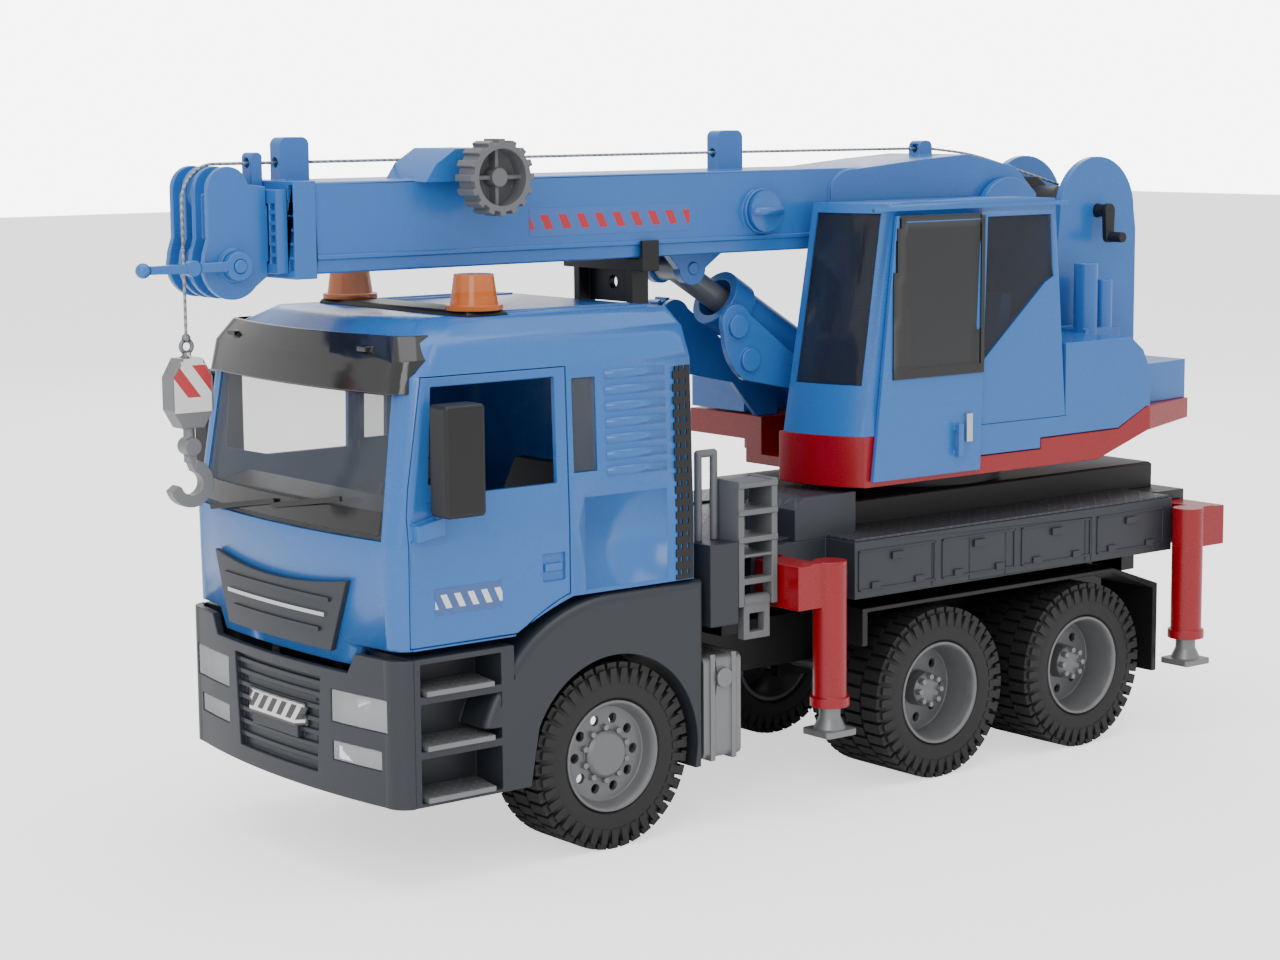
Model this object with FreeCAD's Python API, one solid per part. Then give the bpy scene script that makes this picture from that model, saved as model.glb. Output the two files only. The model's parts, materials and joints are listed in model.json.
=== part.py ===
"""Toy mobile crane truck, 1:16 scale, in millimetres.

X runs along the truck with the front towards -X, +Y is the right side, +Z is up.
Shapes are drawn with X counted from the front axle and Z from the ground, and
save() moves them so that the origin is under the middle of the whole toy.
"""
import FreeCAD, Part
import os
from math import asin, cos, degrees, pi, radians, sin, sqrt, tan

V = FreeCAD.Vector

# Overall sizes
HALF_WIDTH = 78.0          # truck body without mirrors
TIP_END = -168.6           # end of the lever on the boom head
TAIL_END = 353.0           # back of the counterweight
FIT = 0.06                 # radial running clearance of pins and shafts
GAP = 0.4                  # clearance between panels and sliding parts
WALL = 2.5                 # cab and cover walls

# Wheels
TYRE_R = 37.0
RIM_R = 22.0
SHAFT_R = 3.0
MIDDLE_X = 176.5
REAR_X = 265.0
WHEEL_FACE = 76.0
FRONT_TYRE_W = 30.0
REAR_TYRE_W = 44.0
ARCH_R = 40.5
FENDER_R = 64.6

# Chassis and bumper
RAIL_Y = 20.0
RAIL_W = 6.0
RAIL_Z0 = 48.0
RAIL_Z1 = 70.0
BRACKET_Y = 40.0
FRAME_X0 = -92.0
FRAME_X1 = 338.0
BUMPER_Z0 = 32.0
BUMPER_Z1 = 87.6
STEP_X0 = -93.0
STEP_X1 = -48.0
TREAD_T = 2.0

# Deck and outriggers
DECK_X0 = 124.0
DECK_X1 = 320.0
LOCKER_X0 = 47.0
LADDER_X0 = 62.0
LADDER_X1 = 82.4
STEP_HINGE_Z = 90.0
STEP_PIN_R = 1.2
DECK_Z0 = 84.0
DECK_Z1 = 108.0
WALK_T = 1.2
BASE_X0 = 150.0
BASE_X1 = 340.0
BASE_HALF = 48.0
BASE_Z1 = 120.0
TUBE_Z0 = 83.0
BEAM_W = 14.0
BEAM_H = 18.0
BEAM_Z0 = 85.5
BEAM_X = {"front": 91.0, "rear": 337.0}
LEG_X = {"front": 103.5, "rear": 322.5}
LEG_Y = 85.4
LEG_R = 7.0
LEG_Z0 = 44.0
LEG_Z1 = 104.0
FOOT_Z0 = 32.0
FOOT_SIDE = 16.5

# Driver's cab
CAB_Z0 = 90.5
NOSE_Z = 82.5
CAB_BACK = 40.0
CAB_FLOOR_Z = 105.2
CAB_HALF = 76.0
SILL_Z = 129.0
SCREEN_Z = 190.0
ROOF_Z = 209.0
TILT = (-84.0, 78.0)
TILT_PIN_R = 2.5
DOOR_X0 = -92.6
DOOR_X1 = -20.4
DOOR_Z1 = 190.0

# Crane
SLEW_X = 222.0
STUB_R = 12.0
TURRET_Z0 = 128.5
RED_Z1 = 150.0
TURRET_HALF = 70.0
CRANE_CAB_Z1 = 246.0
CRANE_CAB_X1 = 257.0
BOOM_PIVOT = (262.0, 238.0)
BOOM_PIN_R = 3.5
BOOM_Z0 = 226.0
BOOM_Z1 = 260.0
BOOM_HALF = 24.0
BOOM_WALL = 2.5
BOOM_X0 = -107.0
BOOM_X1 = 284.0
MID_HALF = 19.5
MID_Z0 = 229.0
MID_Z1 = 253.6
TIP_HALF = 14.5
SLIDE_GAP = 0.5
HEAD_PIN = (-127.0, 230.0)
HEAD_R = 12.5
ROPE_R = 0.6
ROPE_X = -139.6
ROPE_Z = 267.0
KNOB_X = -29.0
KNOB_Z = 260.6
PINION_TEETH = 11
MODULE = 1.2
LUFF_EYE = (92.0, 219.5)
LUFF_EYE_R = 5.6
LUFF_PIN_R = 2.6
LUFF_FOOT = (218.9, 141.0)
BARREL_R = 11.0
ROD_R = 5.5
WINCH = (325.5, 237.0)
WINCH_R = 25.0
DRUM_R = 11.0
HOOK_X = -139.6

SHIFT = V(-(TIP_END + TAIL_END) / 2, 0, 0)
AXES = {"x": V(1, 0, 0), "y": V(0, 1, 0), "z": V(0, 0, 1)}


# ---- shape helpers ----------------------------------------------------------

def save(name, *shapes):
    """Write one node, moved to the toy's own origin."""
    shape = shapes[0] if len(shapes) == 1 else Part.makeCompound(list(shapes))
    shape = shape.copy()
    shape.translate(SHIFT)
    shape.exportStep(os.path.join("parts", name + ".step"))


def box(x0, x1, y0, y1, z0, z1):
    return Part.makeBox(x1 - x0, y1 - y0, z1 - z0, V(x0, y0, z0))


def rod(axis, x, y, z, radius, length):
    """A cylinder that starts at the point and runs along +axis."""
    return Part.makeCylinder(radius, length, V(x, y, z), AXES[axis])


def cone(x, y, z, r0, r1, length):
    return Part.makeCone(r0, r1, length, V(x, y, z), AXES["z"])


def fuse(first, *rest):
    return first.multiFuse(list(rest)).removeSplitter() if rest else first


def cut(shape, *tools):
    return shape.cut(list(tools))


def flip(shape):
    """The same piece on the other side of the truck."""
    return shape.mirror(V(0, 0, 0), V(0, 1, 0))


def both(shape):
    return [shape, flip(shape)]


def path_wire(points, place):
    """A closed wire. A point given as (a, b, "arc") is the middle of an arc to the next point."""
    edges = []
    last = place(*points[0][:2])
    waiting = None
    for point in points[1:] + points[:1]:
        spot = place(*point[:2])
        if len(point) == 3:
            waiting = spot
            continue
        if waiting is None:
            edges.append(Part.LineSegment(last, spot).toShape())
        else:
            edges.append(Part.Arc(last, waiting, spot).toShape())
        last = spot
        waiting = None
    return Part.Wire(edges)


def side_plate(points, y0, y1):
    """An outline in X and Z, extruded from y0 to y1."""
    wire = path_wire(points, lambda a, b: V(a, y0, b))
    return Part.Face(wire).extrude(V(0, y1 - y0, 0))


def front_plate(points, x0, x1):
    """An outline in Y and Z, extruded from x0 to x1."""
    wire = path_wire(points, lambda a, b: V(x0, a, b))
    return Part.Face(wire).extrude(V(x1 - x0, 0, 0))


def floor_plate(points, z0, z1):
    """An outline in X and Y, extruded from z0 to z1."""
    wire = path_wire(points, lambda a, b: V(a, b, z0))
    return Part.Face(wire).extrude(V(0, 0, z1 - z0))


def turned(profile, x, z):
    """A profile of (radius, y) points, turned about an axle at (x, z)."""
    face = Part.Face(path_wire(profile, lambda r, y: V(r, y, 0)))
    solid = face.revolve(V(0, 0, 0), V(0, 1, 0), 360)
    solid.translate(V(x, 0, z))
    return solid


def bow(z, apex, side_x, half, back, inset=0.0):
    """The plan outline of the cab or bumper at one height: flat sides and a bowed front."""
    corner = 9.0
    front_x = side_x - 6.5 + inset
    h = half - inset
    points = [
        (back, -h), (side_x, -h), (side_x - 4.6 + inset * 0.7, -h + 2.9, "arc"), (front_x, -h + corner),
        (apex + inset, 0, "arc"), (front_x, h - corner),
        (side_x - 4.6 + inset * 0.7, h - 2.9, "arc"), (side_x, h), (back, h)]
    return path_wire(points, lambda a, b: V(a, b, z))


def tube(points, radius):
    """A cord along straight runs in X and Z that are joined by tangent arcs."""
    spots = [V(x, 0, z) for x, z in points]
    edges = []
    start = spots[0]
    for before, corner, after in zip(spots, spots[1:], spots[2:]):
        into = (corner - before).normalize()
        out = (after - corner).normalize()
        half_turn = into.getAngle(out) / 2
        reach = 0.45 * min((corner - before).Length, (after - corner).Length)
        bend = reach / tan(half_turn)
        print("cord bend radius", round(bend, 1))
        first = corner - into * reach
        last = corner + out * reach
        inner = (out - into).normalize()
        middle = corner + inner * (bend / cos(half_turn) - bend)
        edges.append(Part.LineSegment(start, first).toShape())
        edges.append(Part.Arc(first, middle, last).toShape())
        start = last
    edges.append(Part.LineSegment(start, spots[-1]).toShape())
    wire = Part.Wire(edges)
    along = (spots[1] - spots[0]).normalize()
    section = Part.Wire([Part.Circle(spots[0], along, radius).toShape()])
    return wire.makePipeShell([section], True, False, 1)


# ---- chassis ----------------------------------------------------------------

def chassis_frame():
    """Two rails with cross members, axle blocks, deck brackets and the cab's tilt ears."""
    pieces = []
    for side in (-1, 1):
        inner = side * RAIL_Y
        outer = side * (RAIL_Y + RAIL_W)
        low, high = sorted((inner, outer))
        pieces.append(box(FRAME_X0, FRAME_X1, low, high, RAIL_Z0, RAIL_Z1))
        for x in (0.0, MIDDLE_X, REAR_X):
            pieces.append(box(x - 9, x + 9, low, high, TYRE_R - 8, RAIL_Z0))
        ear = side_plate([(FRAME_X0, RAIL_Z1), (FRAME_X0, TILT[1] + 5), (TILT[0], TILT[1] + 8, "arc"),
                          (-76, TILT[1] + 5), (-76, RAIL_Z1)], low, high)
        pieces.append(ear)
    for x in (FRAME_X0, -40.0, 44.0, 82.0, 132.0, 216.0, 300.0, 330.0):
        pieces.append(box(x, x + 8, -RAIL_Y, RAIL_Y, RAIL_Z0 + 2, RAIL_Z1 - 2))
    for x, top in ((56.0, DECK_Z1 - 10), (84.0, TUBE_Z0), (141.0, DECK_Z0), (216.0, DECK_Z0), (300.0, DECK_Z0),
                   (329.0, TUBE_Z0)):
        pieces.append(box(x, x + 9, -BRACKET_Y, BRACKET_Y, RAIL_Z1 - 2, top))
    pieces.append(box(-70, -60, -50, 50, RAIL_Z0 + 6, RAIL_Z0 + 14))
    frame = fuse(*pieces)
    bores = [rod("y", x, -60, TYRE_R, SHAFT_R + FIT, 120) for x in (0.0, MIDDLE_X, REAR_X)]
    bores.append(rod("y", TILT[0], -60, TILT[1], TILT_PIN_R + FIT, 120))
    return cut(frame, *bores)


def bumper_slab(outer, inner, z0, z1):
    """A bowed slab between two insets behind the bumper's front face."""
    faces = []
    for inset in (outer, inner):
        wire = bow(z0, -106.5, -94.0, HALF_WIDTH, STEP_X0, inset)
        faces.append(Part.Face(wire).extrude(V(0, 0, z1 - z0)))
    return cut(faces[0], faces[1])


LAMPS = ((38.5, 70.5, 60.0, 72.5), (39.0, 67.0, 45.5, 53.0))
INTAKE_TOP, INTAKE_FOOT = 32.0, 29.0
INTAKE_Z0, INTAKE_Z1 = 39.0, 76.0


def intake_opening(grow):
    """The trapezoid of the bumper's intake."""
    top, foot = INTAKE_TOP + grow, INTAKE_FOOT + grow
    z0, z1 = INTAKE_Z0 - grow, INTAKE_Z1 + grow
    return front_plate([(-top, z1), (-foot, z0), (foot, z0), (top, z1)], -110, -96)


def nose_outline(x0, x1, grow):
    """The nose under the grille, which dips into the bumper's top edge."""
    foot, top = 46 + grow, 54 + grow
    return front_plate([(-top, CAB_Z0 + 3), (-foot, NOSE_Z - grow), (foot, NOSE_Z - grow), (top, CAB_Z0 + 3)], x0, x1)


def front_bumper():
    """Bowed shell with lamp windows and a slatted intake behind the plate."""
    shell = bumper_slab(0, 3, BUMPER_Z0, BUMPER_Z1)
    shell = cut(shell, nose_outline(-110, -80, 2.7), intake_opening(0), box(STEP_X0 - 2.5, 0, -HALF_WIDTH + 3, HALF_WIDTH - 3, 0, 120))
    for y0, y1, z0, z1 in LAMPS:
        window = box(-110, -90, -y1, -y0, z0, z1)
        shell = cut(shell, *both(window))
    backing = bumper_slab(2.6, 4.6, INTAKE_Z0 - 2, INTAKE_Z1 + 2).common(intake_opening(1.0))
    slats = [bumper_slab(1.2, 3.0, z, z + 2.0).common(intake_opening(0.4)) for z in
             (42.5, 47.5, 52.5, 57.5, 62.5, 67.5, 72.0)]
    plate = box(-106.6, -103.4, -17, 17, 50, 59)
    mounts = [box(FRAME_X0 - 11.0, FRAME_X0, s - 3, s + 3, 50, 66) for s in (-23, 23)]
    return fuse(shell, backing, plate, *slats, *mounts)


def lamp_units():
    """Head lamps and fog lamps that fill the bumper's windows."""
    units = []
    for y0, y1, z0, z1 in LAMPS:
        window = box(-110, -92, -y1 + 0.15, -y0 - 0.15, z0 + 0.15, z1 - 0.15)
        units += both(bumper_slab(0.4, 3.0, z0, z1).common(window))
    return units


def fender():
    """Front wheel arch, its long box behind the wheel and the step box in front."""
    x_start = -sqrt(FENDER_R ** 2 - (57.0 - TYRE_R) ** 2)
    top = TYRE_R + FENDER_R
    x_mid = -FENDER_R * sin(radians(45))
    z_mid = TYRE_R + FENDER_R * cos(radians(45))
    outline = [(-40.8, BUMPER_Z0), (-ARCH_R * cos(radians(25)), TYRE_R + ARCH_R * sin(radians(25))),
               (0, TYRE_R + ARCH_R, "arc"), (ARCH_R * cos(radians(15)), TYRE_R - ARCH_R * sin(radians(15))),
               (42.4, TYRE_R - ARCH_R * sin(radians(15))), (42.4, 64.0), (44.8, 80.0), (44.8, top), (0, top),
               (x_mid, z_mid, "arc"), (x_start, 57.0), (STEP_X1 - 6, 57.0),
               (STEP_X1 - 6, BUMPER_Z0)]
    arch = side_plate(outline, -HALF_WIDTH + 0.4, -50)
    crest = [e for e in arch.Edges if e.BoundBox.YMax < -HALF_WIDTH + 0.5 and e.BoundBox.ZMax > top - 0.1]
    arch = arch.makeFillet(4.0, crest)
    return fuse(arch, step_box())


def step_box():
    """The entry steps' dark housing with three recesses."""
    body = box(STEP_X0 + 0.1, STEP_X1, -HALF_WIDTH + 0.4, -50, BUMPER_Z0, BUMPER_Z1)
    for z0, z1 in STEP_BAYS:
        body = cut(body, box(-90, -54, -HALF_WIDTH - 1, -60, z0, z1))
    return body


STEP_BAYS = ((33.5, 50.0), (53.0, 70.5), (73.5, 85.5))


def step_treads():
    """Chequered treads that lie in the recesses and stand a little proud."""
    treads = []
    for z0, _ in STEP_BAYS:
        tread = floor_plate([(-89.5, -60.2), (-88, -79.0), (-58, -79.0), (-54.5, -60.2)], z0, z0 + TREAD_T)
        treads += both(tread)
    return treads


def rear_mudguards():
    """A flat guard over both rear wheels on each side, with a hanging flap."""
    top, foot, t = 78.2, 66.0, 1.9
    guard = side_plate([(134, 62), (134, top), (288, top), (318, foot + t), (318, 27), (315, 27), (315, foot),
                        (287.4, top - t), (137, top - t), (137, 62)], -72, -BRACKET_Y)
    keep_clear = [rod("y", x, -80, TYRE_R, TYRE_R + 1.6, 50) for x in (MIDDLE_X, REAR_X)]
    guard = cut(guard, *keep_clear)
    struts = [box(x, x + 4, -50, -BRACKET_Y, top - 1, DECK_Z0 - 0.5) for x in (150.0, 218.0, 280.0)]
    return fuse(guard, *struts)


def side_tank():
    """Rounded tank with a filler cap and two straps, hung beside the rail."""
    y_out = -72.0
    body = box(48.0, 67.5, y_out, -40, 27, 69)
    body = body.makeFillet(3.0, [e for e in body.Edges if abs(e.BoundBox.ZLength) < 0.01 and e.BoundBox.XLength > 18])
    straps = [box(x, x + 2.5, y_out - 0.8, -40, 26.2, 69.8) for x in (51.0, 62.0)]
    cap = rod("y", 57.5, y_out - 2.2, 60, 4.0, 3.0)
    hanger = box(53, 60, -40, -RAIL_Y - RAIL_W, 56, 62)
    return fuse(body, cap, hanger, *straps)


def deck_body():
    """Skirted deck with lid panels, ribbed underneath, and the outriggers' cross tubes."""
    deck = box(DECK_X0, DECK_X1, -HALF_WIDTH, HALF_WIDTH, DECK_Z0, DECK_Z1)
    pockets = []
    count = 4
    pitch = (DECK_X1 - DECK_X0 - 4) / count
    for i in range(count):
        x0 = DECK_X0 + 4 + i * pitch
        for y0, y1 in ((-74, -40), (-36, -2), (2, 36), (40, 74)):
            pockets.append(box(x0, x0 + pitch - 4, y0, y1, DECK_Z0 - 1, DECK_Z1 - 3))
    seams = []
    for x in (168.0, 190.0, 212.0, 262.0, 266.0):
        seams += both(box(x, x + 0.7, -HALF_WIDTH - 1, -HALF_WIDTH + 0.6, DECK_Z0 + 1, DECK_Z1 - 4))
    deck = cut(deck, *pockets, *seams)
    parts = [deck]
    for end in ("front", "rear"):
        x = BEAM_X[end]
        half = BEAM_W / 2 + 2.6
        shell = box(x - half, x + half, -62, 62, TUBE_Z0, DECK_Z1)
        room = box(x - BEAM_W / 2 - GAP / 2, x + BEAM_W / 2 + GAP / 2, -63, 63, BEAM_Z0 - GAP / 2,
                   BEAM_Z0 + BEAM_H + GAP / 2)
        parts.append(cut(shell, room))
    parts.append(box(DECK_X1 - 1, BEAM_X["rear"] - BEAM_W / 2 - 2, -60, 60, DECK_Z0 + 2, DECK_Z1))
    parts.append(box(BEAM_X["front"] + BEAM_W / 2 + 2, DECK_X0 + 1, -60, 60, DECK_Z0 + 2, DECK_Z1))
    parts.append(box(LOCKER_X0, BEAM_X["front"] - BEAM_W / 2 - 2, -56, 56, DECK_Z1 - 10, DECK_Z1))
    parts += both(box(LOCKER_X0, LADDER_X0 - 0.6, -HALF_WIDTH, -46, 82, 115))
    return fuse(*parts)


def deck_walkway():
    """Chequered plates on the deck's edges and the raised step beside the crane cab."""
    z0 = DECK_Z1
    plates = []
    for side in (-1, 1):
        y0, y1 = sorted((side * (HALF_WIDTH - 0.8), side * (BASE_HALF + GAP)))
        plates.append(box(DECK_X0 + 0.8, DECK_X1 - 0.8, y0, y1, z0, z0 + WALK_T))
    plates.append(box(75.0, DECK_X0 + 1, -56, 56, z0, z0 + WALK_T))
    step = side_plate([(107, z0), (107, 121), (112, 126), (141, 126), (141, z0)], -60, -28)
    plates.append(step)
    return fuse(*plates)


def turntable_base():
    """Black pedestal with a raised ring and the slewing bore."""
    plinth = box(BASE_X0, BASE_X1, -BASE_HALF, BASE_HALF, DECK_Z1, BASE_Z1)
    plinth = plinth.makeChamfer(1.0, [e for e in plinth.Edges if e.BoundBox.ZMin > BASE_Z1 - 0.1])
    ring = rod("z", SLEW_X, 0, BASE_Z1 - 1, 46, TURRET_Z0 - GAP - BASE_Z1 + 1)
    bore = rod("z", SLEW_X, 0, DECK_Z1 - 1, STUB_R + FIT, 30)
    pockets = [box(x, x + 30, y, y + 36, DECK_Z1 - 1, BASE_Z1 - 3) for x in (156.0, 262.0, 302.0) for y in (-42.0, 6.0)]
    return cut(fuse(plinth, ring), bore, *pockets)


REST_X0, REST_X1 = 54.0, 62.5


REST_HALF = 20.0


def boom_rest():
    """Two uprights behind the cab with a saddle that has lips beside the boom."""
    saddle_z = BOOM_Z0 - 0.5
    foot = DECK_Z1
    upright = side_plate([(REST_X0 - 2, foot), (REST_X0, 200), (REST_X0, saddle_z), (REST_X1, saddle_z),
                          (REST_X1, 205), (REST_X1 + 12, foot)], -REST_HALF, -REST_HALF + 4)
    bridge = box(REST_X0, REST_X1, -BOOM_HALF - 3.2, BOOM_HALF + 3.2, saddle_z - 5, saddle_z)
    lip = box(REST_X0, REST_X1, -BOOM_HALF - 3.2, -BOOM_HALF - 1.3, saddle_z - 5, BOOM_Z0 + 7)
    braces = [box(REST_X0, REST_X0 + 4, -REST_HALF + 2, REST_HALF - 2, z, z + 8) for z in (112.0, 160.0)]
    plate = cut(box(REST_X1 - 3, REST_X1, -REST_HALF + 2, REST_HALF - 2, 207, saddle_z - 4),
                rod("x", REST_X1 - 4, 0, 215, 2.6, 6))
    return fuse(bridge, plate, *both(upright), *both(lip), *braces)


def ladder():
    """Entry ladder with rungs at the deck's edge, and the bent handrail in front of it."""
    y0, y1 = -HALF_WIDTH + 0.5, -HALF_WIDTH + 6.5
    post = 3.0
    top = 139.0
    frame = []
    for x in (LADDER_X0, LADDER_X1 - post):
        frame.append(box(x, x + post, y0, y1, STEP_HINGE_Z - 1.8, top))
        frame.append(box(x, x + post, y0, y1 + 9, DECK_Z1 + 1, top))
    for z in (top - 3, 125.0, 114.0):
        frame.append(box(LADDER_X0, LADDER_X1, y0 - 0.4, y1 + 8, z, z + 2.4))
    frame.append(box(LADDER_X0, LADDER_X1, y0, -56.4, DECK_Z1, DECK_Z1 + WALK_T))
    frame.append(box(LADDER_X0, LADDER_X1, y0, y1, 97, 99.4))
    pin = rod("x", LADDER_X0, y0 + 3, STEP_HINGE_Z, STEP_PIN_R, LADDER_X1 - LADDER_X0)
    return [cut(fuse(*frame), pin), pin, handrail()]


def handrail():
    """A round tube bent into an arch, standing on the locker."""
    x0, x1, y, top, r = 50.5, 58.5, -66.0, 150.0, 1.6
    bends = [Part.makeSphere(r, V(x, y, top)) for x in (x0, x1)]
    legs = [rod("z", x, y, 115, r, top - 115) for x in (x0, x1)]
    return fuse(*legs, *bends, rod("x", x0, y, top, r, x1 - x0))


def fold_step():
    """Step hung under the ladder on the hinge pin."""
    x0, x1 = LADDER_X0 + 3 + GAP, LADDER_X1 - 3 - GAP
    y = -HALF_WIDTH + 3.5
    z = STEP_HINGE_Z
    eye = rod("x", x0, y, z, 2.6, x1 - x0)
    panel = box(x0, x1, y - 2.0, y + 2.0, z - 15.5, z)
    slot = box(x0 + 3, x1 - 3, y - 3, y + 3, z - 12.5, z - 5)
    bore = rod("x", x0 - 1, y, z, STEP_PIN_R + FIT, x1 - x0 + 2)
    return cut(fuse(eye, panel), bore, slot)


# ---- wheels -----------------------------------------------------------------

def tyre(x, width):
    """One tyre on the left side, with rounded shoulders."""
    out = -WHEEL_FACE
    inn = out + width
    profile = [(RIM_R + 0.05, out + 1.5), (RIM_R + 4, out, ), (TYRE_R - 6, out), (TYRE_R - 1.2, out + 1.6, "arc"),
               (TYRE_R - 0.4, out + 5), (TYRE_R, (out + inn) / 2, "arc"), (TYRE_R - 0.4, inn - 5),
               (TYRE_R - 1.2, inn - 1.6, "arc"), (TYRE_R - 6, inn), (RIM_R + 4, inn), (RIM_R + 0.05, inn - 1.5)]
    return turned(profile, x, TYRE_R)


def rim(x, width, dish, hub_out, holes, hub_r):
    """One pressed rim on the left side: barrel, dished disc with hand holes, and hub."""
    out = -WHEEL_FACE + 0.8
    inn = out + width - 2.4
    disc = out + dish
    barrel = turned([(RIM_R, out), (RIM_R, inn), (RIM_R - 1.8, inn), (RIM_R - 1.8, disc + 2.2),
                     (RIM_R - 3.4, disc + 0.5), (RIM_R - 2.0, out + 1.4), (RIM_R - 1.0, out)], x, TYRE_R)
    plate = turned([(SHAFT_R, disc), (RIM_R - 3, disc), (RIM_R - 1, disc + 2.4), (SHAFT_R, disc + 2.4)], x, TYRE_R)
    hub = turned([(SHAFT_R, hub_out), (hub_r - 1.4, hub_out), (hub_r, hub_out + 1.4), (hub_r, disc + 0.2),
                  (hub_r, inn), (SHAFT_R, inn)], x, TYRE_R)
    cap = rod("y", x, hub_out, TYRE_R, hub_r - 1.6, 2.4)
    wheel = fuse(barrel, plate, hub, cap)
    ring_r = (hub_r + RIM_R - 3) / 2
    windows = []
    for i in range(holes):
        angle = 2 * pi * i / holes
        windows.append(rod("y", x + ring_r * cos(angle), disc - 1, TYRE_R + ring_r * sin(angle), 1.9, 5))
    return cut(wheel, *windows)


def shaft(x, end):
    return rod("y", x, -end, TYRE_R, SHAFT_R, 2 * end)


def wheel_nodes():
    for name, x, width, dish, hub_out, holes, hub_r in (
            ("front", 0.0, FRONT_TYRE_W, 6.0, -72.0, 10, 9.5),
            ("middle", MIDDLE_X, REAR_TYRE_W, 15.0, -68.0, 8, 7.5),
            ("rear", REAR_X, REAR_TYRE_W, 15.0, -68.0, 8, 7.5)):
        save(name + "_tyres", *both(tyre(x, width)))
        bore = shaft(x, -hub_out - 2.2)
        rims = [cut(w, bore) for w in both(rim(x, width, dish, hub_out, holes, hub_r))]
        save(name + "_rims_and_shaft", *rims, bore)


# ---- outriggers -------------------------------------------------------------

def outrigger_leg(end):
    """A beam in the cross tube with the leg's tube on its outer end."""
    x = BEAM_X[end]
    beam = box(x - BEAM_W / 2, x + BEAM_W / 2, -LEG_Y - 3, -3, BEAM_Z0, BEAM_Z0 + BEAM_H)
    leg = rod("z", LEG_X[end], -LEG_Y, LEG_Z0, LEG_R, LEG_Z1 - LEG_Z0)
    collar = rod("z", LEG_X[end], -LEG_Y, LEG_Z0, LEG_R + 1.2, 4)
    web_x = sorted((x, LEG_X[end]))
    web = box(web_x[0], web_x[1], -LEG_Y - 3, -LEG_Y + 3, BEAM_Z0, LEG_Z1)
    bore = rod("z", LEG_X[end], -LEG_Y, LEG_Z0 - 1, 4.5 + FIT, 53)
    return cut(fuse(beam, leg, collar, web), bore)


def outrigger_foot(end):
    """A square plate on a cone and a stem that slides in the leg."""
    x = LEG_X[end]
    half = FOOT_SIDE / 2
    plate = box(x - half, x + half, -LEG_Y - half, -LEG_Y + half, FOOT_Z0, FOOT_Z0 + 2.6)
    plate = plate.makeFillet(2.0, [e for e in plate.Edges if e.BoundBox.ZLength > 2])
    neck = cone(x, -LEG_Y, FOOT_Z0 + 2, 7.0, 4.5, 5.5)
    stem = rod("z", x, -LEG_Y, FOOT_Z0 + 5, 4.5, 56)
    return fuse(plate, neck, stem)


def outrigger_nodes():
    for end in ("front", "rear"):
        for side, leg, foot in (("left", outrigger_leg(end), outrigger_foot(end)),
                                ("right", flip(outrigger_leg(end)), flip(outrigger_foot(end)))):
            save("outrigger_leg_%s_%s" % (end, side), leg)
            save("outrigger_foot_%s_%s" % (end, side), foot)


# ---- driver's cab -----------------------------------------------------------

def cab_solid(inset):
    """The cab's outer or inner volume, lofted through its plan outlines."""
    rows = ((CAB_Z0, -103.2, -91.5, CAB_HALF), (SILL_Z, -104.0, -92.0, CAB_HALF),
            (SCREEN_Z, -94.0, -82.5, CAB_HALF - 2), (202.0, -87.0, -75.0, CAB_HALF - 7),
            (ROOF_Z, -76.0, -63.0, CAB_HALF - 17))
    wires = []
    for i, (z, apex, side_x, half) in enumerate(rows):
        lift = inset if i == 0 else -inset if i == len(rows) - 1 else 0.0
        wires.append(bow(z + lift, apex, side_x, half, CAB_BACK - inset, inset))
    return Part.makeLoft(wires, True, True)


def cab_floor_cut():
    """The room that the fenders need under the cab behind the doors' front half."""
    return side_plate([(-46, 80), (-46, CAB_Z0 + 0.5), (-34.0, 97.0, "arc"), (-19, 102.6), (60, 102.6), (60, 80)], -90, 90)


def cab_hull():
    return cut(cab_solid(0), cab_floor_cut())


def door_outline(grow):
    """The door's outline in X and Z, grown by the panel gap."""
    g = grow
    return [(DOOR_X0 - g, CAB_Z0 + 1 - g), (-44, CAB_Z0 + 1 - g), (-33.0, 98.6 - g, "arc"), (DOOR_X1 + g, 104.0 - g),
            (DOOR_X1 + g, DOOR_Z1 + g), (-84.5 - g, DOOR_Z1 + g), (-91.4 - g, 150.0), (DOOR_X0 - g, 140.0)]


def window_outline():
    return [(-83.5, 151), (-64, 146.5), (-25.5, 146.5), (-25.5, 186.5), (-81, 186.5)]


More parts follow.
